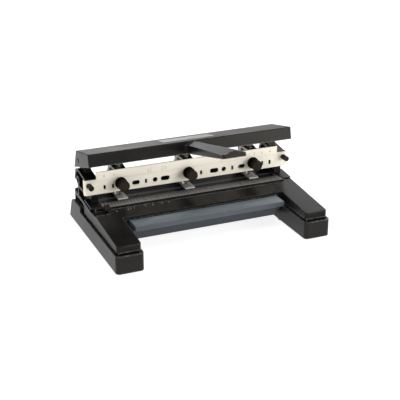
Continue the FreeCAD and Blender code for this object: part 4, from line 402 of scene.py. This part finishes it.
@dataclass(frozen=True)
class RailPlating(Finish):
    """Warm nickel on folded sheet, with a faint crease along the front darkened as painted shade,
    painted edge highlights and fine drawing lines.
    """

    shade: Colour = (0.66, 0.61, 0.51)
    bright_edge: Colour = (0.95, 0.93, 0.9)
    edge_reach: float = 0.0004
    roughness: float = 0.42
    metallic: float = 0.25
    crease_height: float = 87.4
    crease_width: float = 0.9
    crease_share: float = 0.45
    crease_depth: float = 0.00025
    line_depth: float = 0.000006
    front: float = 34.6

    def material(self) -> bpy.types.Material:
        """Build the material of this finish.

        Returns:
            The material.
        """
        graph = Graph(self.name)
        lines = graph.noise(graph.stretched((6.0, 700.0, 700.0)), 1.0, 3.0, 0.6)
        cloud = graph.noise(graph.position(), 26.0, 3.0)
        on_front = graph.axis("Y").below(self.front)
        crease = graph.axis("Z").line(self.crease_height, self.crease_width) * on_front
        share = lines.ramp(0.3, 0.8) * 0.14 + cloud.ramp(0.4, 0.8) * 0.12
        colour = graph.mix(share, self.colour, self.shade)
        # Painted shade along the crease.
        colour = graph.mix(crease * self.crease_share, colour, self.shade)
        # Painted highlight along the edges.
        colour = graph.mix(graph.edge(self.edge_reach) * 0.25, colour, self.bright_edge)
        rough = (lines - MIDDLE_GREY) * 0.16 + (cloud - MIDDLE_GREY) * 0.10 + self.roughness
        normal = graph.bump(1.0 - crease, self.crease_depth, graph.bump(lines, self.line_depth))
        return graph.surface(
            Base_Color=colour, Metallic=self.metallic, Roughness=rough, Normal=normal
        )


@dataclass(frozen=True)
class PlatePaint(Finish):
    """Dark satin paint on the pressed deck plate.

    One strip is painted lighter as light. A shallow groove runs in front of that strip and is
    painted near black as shade, a low bead in front of the groove is painted lighter as a
    highlight, and the paint under the rail is painted near black as the rail's shadow.
    """

    dust: Colour = (0.028, 0.0275, 0.0265)
    # The next two colours are the painted shade (near black, in the groove and under the rail)
    # and the painted light (on the strip and the bead).
    fresh: Colour = (0.003, 0.003, 0.003)
    rubbed: Colour = (0.13, 0.127, 0.12)
    worn: Colour = (0.2, 0.2, 0.2)
    edge_reach: float = 0.0005
    groove_depth: float = 0.0005
    grain_depth: float = 0.00001
    fresh_from: float = 48.9
    strip: tuple[float, float] = (44.6, 10.4)
    groove: tuple[float, float] = (36.7, 4.6)
    bead: tuple[float, float] = (31.2, 2.4)
    top: float = 52.0
    roughness: float = 0.40
    specular: float = 0.13

    def material(self) -> bpy.types.Material:
        """Build the material of this finish.

        Returns:
            The material.
        """
        graph = Graph(self.name)
        point = graph.position()
        cloud = graph.noise(point, 30.0, 3.0)
        streaks = graph.noise(graph.stretched((14.0, 400.0, 400.0)), 1.0, 3.0, 0.6)
        fine = graph.noise(point, 1800.0, 1.5)
        across = graph.axis("Y")
        on_top = graph.axis("Z").above(self.top)
        strip, groove, bead = (
            across.line(*band).ramp(0.1, 0.4) * on_top
            for band in (self.strip, self.groove, self.bead)
        )
        colour = graph.mix(cloud.ramp(0.35, 0.75), self.colour, self.dust)
        colour = graph.mix(graph.edge(self.edge_reach) * 0.5, colour, self.worn)
        # Painted light: the strip and the bead are lightened.
        colour = graph.mix(strip * (streaks.ramp(0.3, 0.6) * 0.5 + 0.5), colour, self.rubbed)
        colour = graph.mix(bead * 0.5, colour, self.rubbed)
        # Painted shade: the plate under the rail, as its shadow, and the groove are darkened to
        # near black.
        rail_shadow = across.above(self.fresh_from) * on_top
        colour = graph.mix(groove.larger(rail_shadow), colour, self.fresh)
        rough = (cloud - MIDDLE_GREY) * 0.12 + (fine - MIDDLE_GREY) * 0.05 + self.roughness
        grain = graph.bump(fine, self.grain_depth)
        normal = graph.bump(1.0 - groove + bead * 0.5, self.groove_depth, grain)
        return graph.surface(
            Base_Color=colour, Roughness=rough, Normal=normal, Specular_IOR_Level=self.specular
        )


@dataclass(frozen=True)
class TrayPlastic(Finish):
    """Smoke-grey moulded plastic with faint flow marks; faces that face forward and down are
    painted darker as shade.
    """

    deep: Colour = (0.142, 0.167, 0.19)
    # The next two colours are painted shade: darker on forward faces, darkest on downward faces.
    lip: Colour = (0.078, 0.091, 0.106)
    under: Colour = (0.013, 0.017, 0.026)
    worn: Colour = (0.32, 0.34, 0.37)
    edge_reach: float = 0.0006
    grain_depth: float = 0.000012
    roughness: float = 0.42
    specular: float = 0.2

    def material(self) -> bpy.types.Material:
        """Build the material of this finish.

        Returns:
            The material.
        """
        graph = Graph(self.name)
        flow = graph.noise(graph.stretched((14.0, 45.0, 90.0)), 1.0, 3.0, 0.55)
        fine = graph.noise(graph.position(), 1400.0, 1.5)
        colour = graph.mix(flow.ramp(0.38, 0.68), self.colour, self.deep)
        ahead, down = 0.0 - graph.facing("Y"), 0.0 - graph.facing("Z")
        # Painted shade: forward faces darker, downward faces darkest.
        colour = graph.mix(ahead.ramp(0.5, 0.8), colour, self.lip)
        colour = graph.mix(down.ramp(0.15, 0.5), colour, self.under)
        colour = graph.mix(graph.edge(self.edge_reach) * 0.4, colour, self.worn)
        rough = (flow - MIDDLE_GREY) * 0.16 + (fine - MIDDLE_GREY) * 0.06 + self.roughness
        return graph.surface(
            Base_Color=colour,
            Roughness=rough,
            Normal=graph.bump(fine, self.grain_depth),
            Specular_IOR_Level=self.specular,
        )


@dataclass(frozen=True)
class KnobPlastic(Finish):
    """Matt brown-black plastic, near black round the waist, with the front face painted lighter
    as if lit.
    """

    # Lighter colour of the front face: painted light.
    front: Colour = (0.025, 0.0205, 0.014)
    front_face: float = 16.6
    front_polish: float = 0.12
    grain_depth: float = 0.00003
    roughness: float = 0.6
    specular: float = 0.1

    def material(self) -> bpy.types.Material:
        """Build the material of this finish.

        Returns:
            The material.
        """
        graph = Graph(self.name)
        point = graph.position()
        cloud = graph.noise(point, 120.0, 3.0)
        fine = graph.noise(point, 1500.0, 1.5)
        # Painted light: faces in front of the front-face plane take the lighter front colour,
        # patchy with the cloud.
        ahead = graph.axis("Y").below(self.front_face)
        lightening = ahead * (cloud.ramp(0.3, 0.7) * 0.4 + 0.6)
        colour = graph.mix(lightening, self.colour, self.front)
        rough = (fine - MIDDLE_GREY) * 0.08 + self.roughness - ahead * self.front_polish
        return graph.surface(
            Base_Color=colour,
            Roughness=rough,
            Normal=graph.bump(fine, self.grain_depth),
            Specular_IOR_Level=self.specular,
        )


@dataclass(frozen=True)
class ZincSheet(Finish):
    """Zinc-plated sheet with upward faces, chiefly the foot, painted darker as shade so that the
    side plates read lighter.
    """

    # Darker colour of faces that face up: painted shade.
    foot: Colour = (0.60, 0.575, 0.535)
    shade: Colour = (0.66, 0.63, 0.58)
    line_depth: float = 0.000008
    metallic: float = 0.1
    roughness: float = 0.42

    def material(self) -> bpy.types.Material:
        """Build the material of this finish.

        Returns:
            The material.
        """
        graph = Graph(self.name)
        lines = graph.noise(graph.stretched((500.0, 12.0, 500.0)), 1.0, 3.0, 0.6)
        cloud = graph.noise(graph.position(), 60.0, 3.0)
        colour = graph.mix(cloud.ramp(0.35, 0.75) * 0.5, self.colour, self.shade)
        # Painted shade: faces that face up take the darker colour.
        colour = graph.mix(graph.facing("Z").ramp(0.4, 0.8), colour, self.foot)
        colour = graph.mix(lines.ramp(0.4, 0.8) * 0.2, colour, self.shade)
        rough = (lines - MIDDLE_GREY) * 0.16 + (cloud - MIDDLE_GREY) * 0.12 + self.roughness
        return graph.surface(
            Base_Color=colour,
            Metallic=self.metallic,
            Roughness=rough,
            Normal=graph.bump(lines, self.line_depth),
        )


@dataclass(frozen=True)
class Ink(Finish):
    """Printed ink, slightly thin in places."""

    ground: Colour = (0.02, 0.02, 0.02)
    thin: float = 0.35
    depth: float = 0.000004

    def material(self) -> bpy.types.Material:
        """Build the material of this finish.

        Returns:
            The material.
        """
        graph = Graph(self.name)
        gaps = graph.noise(graph.position(), 2600.0, 2.0).ramp(0.45, 0.75)
        colour = graph.mix(gaps * self.thin, self.colour, self.ground)
        return graph.surface(
            Base_Color=colour,
            Roughness=gaps * 0.2 + 0.5,
            Normal=graph.bump(gaps, self.depth),
        )


class Slot(Enum):
    """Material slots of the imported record, with the finish of each."""

    # Black moulding, black paint and lever paint raise wear, worn colour and edge reach, so their
    # edge wear also paints the highlights of rounded edges.
    BLACK_MOULDING = Coating(
        "black_moulding", (0.008, 0.0075, 0.007), dust=(0.014, 0.0135, 0.013),
        worn=(0.24, 0.235, 0.23), wear=0.8, edge_reach=0.003, roughness=0.36, specular=0.18,
    )
    BLACK_PAINT = Coating(
        "black_paint", (0.0085, 0.0081, 0.0077), dust=(0.014, 0.0135, 0.0128),
        worn=(0.34, 0.33, 0.32), wear=0.95, edge_reach=0.0019, roughness=0.30, specular=0.10,
    )
    FRAME_PAINT = Coating(
        "frame_paint", (0.005, 0.0047, 0.0045), dust=(0.009, 0.0085, 0.008), roughness=0.34,
        specular=0.15,
    )
    LEVER_PAINT = Coating(
        "lever_paint", (0.008, 0.0077, 0.0071), dust=(0.013, 0.0125, 0.0115),
        worn=(0.3, 0.29, 0.27), wear=0.95, edge_reach=0.0022, roughness=0.30, specular=0.135,
        gloss_tint=(1.0, 0.965, 0.89),
    )
    DARK_STEEL = PlatePaint("dark_steel", (0.014, 0.0137, 0.0132))
    RULER_GREY = BrushedMetal(
        "ruler_grey",
        (0.262, 0.253, 0.237),
        roughness=0.55,
        metallic=0.0,
        specular=0.15,
        tint=(0.14, 0.136, 0.13),
        worn=(0.3, 0.3, 0.29),
    )
    GUIDE_PLASTIC = Coating("guide_plastic", (0.006, 0.006, 0.006), roughness=0.38, specular=0.1)
    TRAY_PLASTIC = TrayPlastic("tray_plastic", (0.24, 0.272, 0.297))
    RAIL_NICKEL = RailPlating("rail_nickel", (0.96, 0.90, 0.765))
    BRIGHT_STEEL = BrushedMetal("bright_steel", (0.62, 0.62, 0.61), roughness=0.25)
    LABEL_METAL = BrushedMetal("label_metal", (0.62, 0.62, 0.61), roughness=0.34, metallic=0.4)
    HEAD_BLACK = Coating("head_black", (0.009, 0.0085, 0.008), roughness=0.4)
    # The base colour is set high so that the shaded side plates read light: painted light.
    BRACKET_ZINC = ZincSheet("bracket_zinc", (0.9, 0.87, 0.82))
    SPRING_STEEL = BrushedMetal("spring_steel", (0.5, 0.5, 0.5), roughness=0.3)
    KNOB_PLASTIC = KnobPlastic("knob_plastic", (0.003, 0.002, 0.0012))
    FOOT_RUBBER = Coating(
        "foot_rubber", (0.012, 0.012, 0.012), roughness=0.75, wear=0.15, depth=0.00006
    )
    SCREW_STEEL = BrushedMetal("screw_steel", (0.5, 0.5, 0.5), roughness=0.3)
    STUD_BLACK = Coating("stud_black", (0.008, 0.007, 0.0055), roughness=0.45, specular=0.12)

    @property
    def key(self) -> str:
        """Name of the slot in the record."""
        return self.value.name


class FinishShop:
    """Builds each finish once and hands it out by slot.

    The node named below has its bright slot swapped for the dark stud slot: painted shade that
    stands for the dark hole in which its ends are seen.
    """

    BLACKENED = "pivot_rod"

    def __init__(self) -> None:
        """Build the finish of every slot and read which slot each node takes."""
        self.by_slot = {slot.key: slot.value.material() for slot in Slot}
        self.slot_of = {
            part["node"]: part["material_slot"] for part in frame["record"]["subparts"]
        }
        # Painted shade: the rod's ends show as dark holes.
        self.slot_of[self.BLACKENED] = Slot.STUD_BLACK.key

    def finish(self, slot: Slot) -> bpy.types.Material:
        """Return the material of a slot."""
        return self.by_slot[slot.key]

    def dress(self, node: str) -> None:
        """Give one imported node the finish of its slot.

        Args:
            node: name of the node.
        """
        mesh = frame["nodes"][node].data
        mesh.materials.clear()
        mesh.materials.append(self.by_slot[self.slot_of[node]])


def place_piece(
    name: str, shape: bmesh.types.BMesh, material: bpy.types.Material, body: str
) -> bpy.types.Object:
    """Turn a finished shape into a piece of the scene.

    Args:
        name: name of the piece.
        shape: its shape, which is used up.
        material: its material.
        body: body that it rides on.

    Returns:
        The piece.
    """
    mesh = bpy.data.meshes.new(name)
    shape.to_mesh(mesh)
    shape.free()
    mesh.materials.append(material)
    piece = bpy.data.objects.new(name, mesh)
    bpy.context.scene.collection.objects.link(piece)
    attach(piece, body)
    return piece


class ThinMarks:
    """Bars and figures on one flat face, gathered into one piece that stands just proud of it.

    PROUD and SUNK are how far they stand over the face and reach into it, in millimetres.
    """

    PROUD = 0.03
    SUNK = 0.02

    def __init__(
        self,
        name: str,
        origin: Sequence[float],
        right: Sequence[float],
        up: Sequence[float],
    ) -> None:
        """Start an empty piece.

        Args:
            name: name of the piece.
            origin: a point of the face, in millimetres.
            right: direction that the marks read along.
            up: direction that the figures stand along.
        """
        self.name = name
        self.shape = bmesh.new()
        across, along = Vector(right).normalized(), Vector(up).normalized()
        out = across.cross(along)
        turn = Matrix((across, along, out)).transposed().to_4x4()
        self.face = Matrix.Translation(Vector(origin) * MM) @ turn @ Matrix.Scale(MM, 4)

    def bar(self, across: float, along: float, width: float, length: float) -> None:
        """Add a bar with its middle at a place of the face.

        Args:
            across: place along the reading direction, in millimetres.
            along: place along the standing direction.
            width: its size across.
            length: its size along.
        """
        depth = self.PROUD + self.SUNK
        middle = Vector((across, along, (self.PROUD - self.SUNK) / 2.0))
        place = Matrix.Translation(middle) @ Matrix.Diagonal((width, length, depth, 1.0))
        bmesh.ops.create_cube(self.shape, size=1.0, matrix=self.face @ place)

    def figure(self, text: str, across: float, along: float, size: float) -> None:
        """Add a figure with its middle at a place of the face.

        Args:
            text: what it reads.
            across: place along the reading direction, in millimetres.
            along: place along the standing direction.
            size: height of the lettering.
        """
        curve = bpy.data.curves.new("figure", "FONT")
        curve.body = text
        curve.size = size
        curve.align_x = "CENTER"
        curve.align_y = "CENTER"
        curve.extrude = (self.PROUD + self.SUNK) / 2.0
        curve.resolution_u = 3
        holder = bpy.data.objects.new("figure", curve)
        mesh = bpy.data.meshes.new_from_object(holder)
        mesh.transform(
            self.face @ Matrix.Translation((across, along, (self.PROUD - self.SUNK) / 2.0))
        )
        self.shape.from_mesh(mesh)
        bpy.data.meshes.remove(mesh)
        bpy.data.objects.remove(holder)
        bpy.data.curves.remove(curve)

    def piece(self, finish: Finish, body: str, slot: Slot) -> bpy.types.Object:
        """Make the piece.

        Args:
            finish: finish of the marks.
            body: body that they ride on.
            slot: slot of what they are printed on; not used.

        Returns:
            The piece.
        """
        bmesh.ops.remove_doubles(self.shape, verts=self.shape.verts, dist=MESH_MERGE)
        bmesh.ops.recalc_face_normals(self.shape, faces=self.shape.faces)
        return place_piece(self.name, self.shape, finish.material(), body)


@dataclass
class SubAssembly:
    """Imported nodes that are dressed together, and the pieces that the scene adds to them."""

    title: str = ""
    nodes: tuple[str, ...] = ()

    def build(self, shop: FinishShop) -> None:
        """Dress the nodes, add the scene's own pieces and report both.

        Args:
            shop: where the finishes come from.
        """
        for node in self.nodes:
            shop.dress(node)
            LOG.info("%s: dressed %s", self.title, node)
        for piece in self.pieces(shop):
            LOG.info("%s: made %s", self.title, piece.name)

    def pieces(self, shop: FinishShop) -> list[bpy.types.Object]:
        """Make the pieces that the scene adds to these nodes: none here."""
        return []


@dataclass
class Base(SubAssembly):
    """Moulded pan with its feet and screws."""

    title: str = "base"
    nodes: tuple[str, ...] = ("base_pan", "rubber_feet", "base_screws")


@dataclass
class ChipTray(SubAssembly):
    """Tray that slides out of the base."""

    title: str = "chip tray"
    nodes: tuple[str, ...] = ("chip_tray",)


@dataclass
class Deck(SubAssembly):
    """Casting with its plate, its ruler, the paper guide and the size marks on the apron."""

    title: str = "deck"
    nodes: tuple[str, ...] = (
        "deck_casting",
        "deck_plate",
        "deck_screws",
        "ruler_strip",
        "paper_guide",
    )
    first_tick: int = -140
    last_tick: int = 144
    ruler_front: float = 12.7
    ruler_top: float = 53.3
    ruler_depth: float = 16.0
    back_margin: float = 0.4
    tick_ten: tuple[float, float] = (1.3, 13.0)
    tick_five: tuple[float, float] = (1.1, 11.0)
    tick_one: tuple[float, float] = (0.3, 6.0)
    figure_size: float = 3.2
    figure_side: float = 2.8
    figure_place: float = 2.4
    figure_step: int = 20
    stop_lines: tuple[float, ...] = (-77.6, -58.5, 77.6)
    stop_line: tuple[float, float] = (0.8, 15.4)
    apron_front: float = -100.0
    apron_front_top: float = 41.6
    apron_slope: float = 5.14
    apron_marks: tuple[tuple[float, float, str], ...] = (
        (-129.4, -1.9, "0"),
        (-111.8, -1.7, "5"),
        (-107.6, 0.2, "6"),
        (-102.1, -0.8, "7"),
        (-84.6, 0.4, "8"),
        (-72.9, 0.0, "9"),
        (-58.9, 0.6, "10"),
        (-48.0, 0.6, "11"),
    )
    apron_figure: float = 3.0
    apron_tick_rise: float = 2.6
    apron_tick: tuple[float, float] = (0.5, 1.6)

    def pieces(self, shop: FinishShop) -> list[bpy.types.Object]:
        """Make the ruler's scale and the figures on the apron."""
        return [self.ruler_scale(), self.apron_figures()]

    def tick(self, place: int) -> tuple[float, float]:
        """Choose the tick of one millimetre.

        Args:
            place: whole millimetre along the ruler.

        Returns:
            Width and length of the tick.
        """
        if place % 10 == 0:
            return self.tick_ten
        return self.tick_five if place % 5 == 0 else self.tick_one

    def ruler_scale(self) -> bpy.types.Object:
        """Make the ticks, the figures and the stop lines of the ruler.

        Returns:
            The piece.
        """
        origin = (0.0, self.ruler_front, self.ruler_top)
        scale = ThinMarks("ruler_scale", origin, (1, 0, 0), (0, 1, 0))
        back = self.ruler_depth - self.back_margin
        for place in range(self.first_tick, self.last_tick + 1):
            width, length = self.tick(place)
            scale.bar(place, back - length / 2.0, width, length)
            if place % self.figure_step == 0:
                text = str(abs(place) // 10)
                scale.figure(text, place + self.figure_side, self.figure_place, self.figure_size)
        for place in self.stop_lines:
            scale.bar(place, self.ruler_depth / 2.0, *self.stop_line)
        ink = Ink("scale_ink", (0.03, 0.029, 0.027), ground=(0.2, 0.2, 0.19))
        return scale.piece(ink, "base", Slot.RULER_GREY)

    def apron_figures(self) -> bpy.types.Object:
        """Make the small figures in front of the ruler.

        Returns:
            The piece.
        """
        slope = math.radians(self.apron_slope)
        up = (0.0, math.cos(slope), math.sin(slope))
        origin = (0.0, self.apron_front, self.apron_front_top)
        figures = ThinMarks("apron_figures", origin, (1, 0, 0), up)
        for across, depth, text in self.apron_marks:
            along = (depth - self.apron_front) / math.cos(slope)
            figures.figure(text, across, along, self.apron_figure)
            figures.bar(across, along + self.apron_tick_rise, *self.apron_tick)
        return figures.piece(Ink("apron_ink", (0.55, 0.55, 0.53)), "base", Slot.BLACK_PAINT)


@dataclass
class Rail(SubAssembly):
    """Slotted rail on its two end frames, with faint figures over the slots."""

    title: str = "rail"
    nodes: tuple[str, ...] = (
        "end_frame_left",
        "end_frame_right",
        "frame_screws",
        "rail",
        "rail_screws",
    )
    face: float = 33.9
    figures_cut: tuple[tuple[float, float, str], ...] = (
        (-136.0, 93.4, "4"),
        (-120.6, 93.0, "3"),
        (-66.9, 92.0, "2"),
        (-40.1, 92.6, "2"),
        (108.4, 94.0, "2"),
        (121.4, 92.6, "3"),
        (135.4, 93.6, "4"),
    )
    lines_cut: tuple[tuple[float, float, float], ...] = (
        (-63.0, 92.5, 9.0),
        (-45.1, 92.5, 9.0),
        (52.0, 92.5, 9.0),
    )
    figure_size: float = 5.8
    line_width: float = 0.5
    blank_middle: tuple[float, float, float] = (-18.6, 34.9, 75.9)
    blank_size: tuple[float, float, float] = (3.66, 1.96, 6.66)
    blank_edge: float = 0.12

    def pieces(self, shop: FinishShop) -> list[bpy.types.Object]:
        """Make the marks on the rail and the blank in one of its slits."""
        return [self.etching(), self.slit_blank(shop)]

    def slit_blank(self, shop: FinishShop) -> bpy.types.Object:
        """Make the blank that closes the slit on the left of the middle knob.

        Args:
            shop: where the finishes come from.

        Returns:
            The piece.
        """
        shape = bmesh.new()
        place = Matrix.Translation(self.blank_middle) @ Matrix.Diagonal((*self.blank_size, 1.0))
        bmesh.ops.create_cube(shape, size=1.0, matrix=Matrix.Scale(MM, 4) @ place)
        bmesh.ops.bevel(
            shape, geom=shape.edges[:], offset=self.blank_edge * MM, segments=2, affect="EDGES"
        )
        slot = Slot.RAIL_NICKEL
        return place_piece("rail_blank", shape, shop.finish(slot), "base")

    def etching(self) -> bpy.types.Object:
        """Make the faint figures and lines on the front of the rail.

        Returns:
            The piece.
        """
        marks = ThinMarks("rail_figures", (0.0, self.face, 0.0), (1, 0, 0), (0, 0, 1))
        for across, height, text in self.figures_cut:
            marks.figure(text, across, height, self.figure_size)
        for across, height, length in self.lines_cut:
            marks.bar(across, height, self.line_width, length)
        ink = Ink("rail_etching", (0.38, 0.35, 0.29), ground=(0.6, 0.56, 0.48))
        return marks.piece(ink, "base", Slot.RAIL_NICKEL)


class Side(Enum):
    """The three punch heads, with the place of each pin along the rail in millimetres."""

    LEFT = -108.0
    MIDDLE = 0.0
    RIGHT = 108.0

    @property
    def word(self) -> str:
        """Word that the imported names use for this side."""
        return self.name.lower()


@dataclass
class PunchHead(SubAssembly):
    """Die block, bracket, pin, spring, clamp stud and knob of one punch head.

    TANGENT is how far ahead and behind the direction of the wire is read, in turns.
    """

    TANGENT = 0.01

    side: Side = Side.MIDDLE
    pin_depth: float = 53.5
    coil_radius: float = 5.3
    wire_radius: float = 0.65
    coil_low: float = 72.2
    coil_high: float = 102.7
    coil_turns: float = 6.5
    coil_steps: int = 26
    wire_sides: int = 10
    pin_travel: float = 7.9

    def __post_init__(self) -> None:
        """Name the head and its nodes."""
        self.title = f"{self.side.word} head"
        kinds = ("block", "bracket", "pin", "spring", "stud", "knob")
        self.nodes = tuple(f"head_{self.side.word}_{kind}" for kind in kinds)

    def pieces(self, shop: FinishShop) -> list[bpy.types.Object]:
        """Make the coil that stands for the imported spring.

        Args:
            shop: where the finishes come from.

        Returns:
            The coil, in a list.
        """
        head, slot = f"head_{self.side.word}", Slot.SPRING_STEEL
        coil = place_piece(f"{head}_coil", self.coil_shape(), shop.finish(slot), head)
        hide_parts(f"{head}_spring")
        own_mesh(coil)
        return [coil]

    def wire_point(self, turn: float) -> Vector:
        """Follow the middle of the wire.

        Args:
            turn: turns from the lower end.

        Returns:
            The point, in millimetres.
        """
        rise = self.coil_high - self.coil_low - 2.0 * self.wire_radius
        angle = math.tau * turn
        return Vector((
            self.side.value + self.coil_radius * math.cos(angle),
            self.pin_depth + self.coil_radius * math.sin(angle),
            self.coil_low + self.wire_radius + rise * turn / self.coil_turns,
        ))

    def wire_ring(self, shape: bmesh.types.BMesh, turn: float) -> list[bmesh.types.BMVert]:
        """Add one ring of points round the wire.

        Args:
            shape: shape that the points are added to.
            turn: turns from the lower end.

        Returns:
            The points, in order round the wire.
        """
        middle = self.wire_point(turn)
        ahead, behind = (self.wire_point(turn + step) for step in (self.TANGENT, -self.TANGENT))
        along = (ahead - behind).normalized()
        out = Vector((math.cos(math.tau * turn), math.sin(math.tau * turn), 0.0))
        lift = along.cross(out)
        ring = []
        for side in range(self.wire_sides):
            angle = math.tau * side / self.wire_sides
            reach = out * math.cos(angle) + lift * math.sin(angle)
            ring.append(shape.verts.new((middle + reach * self.wire_radius) * MM))
        return ring

    def coil_shape(self) -> bmesh.types.BMesh:
        """Build the coil as a closed tube.

        Returns:
            The shape, in metres.
        """
        shape = bmesh.new()
        steps = range(int(self.coil_turns * self.coil_steps) + 1)
        rings = [self.wire_ring(shape, step / self.coil_steps) for step in steps]
        for low, high in zip(rings, rings[1:]):
            for side in range(self.wire_sides):
                after = (side + 1) % self.wire_sides
                shape.faces.new((low[side], low[after], high[after], high[side]))
        for ring in (rings[0], rings[-1]):
            shape.faces.new(ring)
        bmesh.ops.recalc_face_normals(shape, faces=shape.faces)
        for face in shape.faces:
            face.smooth = len(face.verts) == 4
        return shape


@dataclass
class Lever(SubAssembly):
    """Hollow T lever with its blank plate, its presser bar and its hinge."""

    title: str = "lever"
    nodes: tuple[str, ...] = (
        "lever_shell",
        "label_plate",
        "presser_bar",
        "pivot_rod",
        "pivot_clips",
    )


@dataclass(frozen=True)
class SoftLight:
    """One flat soft light."""

    name: str
    place: tuple[float, float, float]
    aim: tuple[float, float, float]
    width: float
    height: float
    power: float

    def hang(self) -> None:
        """Hang the light in the scene."""
        light = bpy.data.lights.new(self.name, "AREA")
        light.shape = "RECTANGLE"
        light.size = self.width
        light.size_y = self.height
        light.energy = self.power
        lamp = bpy.data.objects.new(self.name, light)
        lamp.location = self.place
        aim = Vector(self.aim) - Vector(self.place)
        lamp.rotation_euler = aim.to_track_quat("-Z", "Y").to_euler()
        bpy.context.scene.collection.objects.link(lamp)


@dataclass
class Studio:
    """Plain pale floor, soft lights and the camera."""

    camera_place: tuple[float, float, float] = (-0.51498, -1.19782, 0.5867)
    turn: float = 23.34
    tilt: float = 22.51
    lens: float = 84.8
    sensor: float = 36.0
    floor_half: float = 6.0
    floor_white: Colour = (0.6, 0.6, 0.6)
    floor_glow: float = 0.85
    fill: float = 0.14
    lights: tuple[SoftLight, ...] = (
        SoftLight("left", (-1.7, -0.2, 0.8), (0.0, 0.0, 0.05), 1.4, 1.4, 7.8),
        SoftLight("top", (0.0, -0.3, 2.2), (0.0, 0.0, 0.0), 2.0, 2.0, 20.0),
        SoftLight("front", (1.6, -2.0, 0.6), (0.0, 0.0, 0.08), 1.5, 1.2, 40.0),
        SoftLight("right", (1.75, 1.75, 0.95), (0.1, 0.0, 0.05), 1.2, 1.2, 14.0),
        SoftLight("rear", (0.55, 2.7, 0.5), (0.0, 0.0, 0.12), 0.7, 0.35, 2.0),
    )

    def build(self) -> None:
        """Build the floor, the lights and the camera."""
        self.lay_floor()
        self.fill_world()
        for light in self.lights:
            light.hang()
            LOG.info("studio: hung the %s light", light.name)
        self.place_camera()
        bpy.context.scene.view_settings.view_transform = "Standard"

    def lay_floor(self) -> None:
        """Lay the floor just under the feet."""
        mesh = bpy.data.meshes.new("floor")
        shape = bmesh.new()
        bmesh.ops.create_grid(shape, x_segments=1, y_segments=1, size=self.floor_half)
        shape.to_mesh(mesh)
        shape.free()
        floor = bpy.data.objects.new("floor", mesh)
        bpy.context.scene.collection.objects.link(floor)
        mesh.materials.append(
            Graph("floor_white").surface(
                Base_Color=self.floor_white,
                Roughness=0.9,
                Specular_IOR_Level=0.1,
                Emission_Color=(1.0, 1.0, 1.0),
                Emission_Strength=self.floor_glow,
            )
        )

    def fill_world(self) -> None:
        """Set the world's even fill."""
        world = bpy.data.worlds.new("studio")
        world.use_nodes = True
        background = world.node_tree.nodes["Background"]
        background.inputs["Color"].default_value = (1.0, 1.0, 1.0, 1.0)
        background.inputs["Strength"].default_value = self.fill
        bpy.context.scene.world = world

    def place_camera(self) -> None:
        """Place the camera and make it the scene's."""
        camera = bpy.data.cameras.new("camera")
        camera.lens = self.lens
        camera.sensor_width = self.sensor
        stand = bpy.data.objects.new("camera", camera)
        stand.location = self.camera_place
        stand.rotation_euler = (math.radians(90.0 - self.tilt), 0.0, math.radians(-self.turn))
        bpy.context.scene.collection.objects.link(stand)
        bpy.context.scene.camera = stand


def main() -> None:
    """Build the sub-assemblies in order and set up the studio."""
    logging.basicConfig(level=logging.INFO, format="%(name)s: %(message)s")
    shop = FinishShop()
    heads = [PunchHead(side=side) for side in Side]
    for part in (Base(), ChipTray(), Deck(), Rail(), *heads, Lever()):
        part.build(shop)
    Studio().build()


if __name__ == "__main__":
    main()
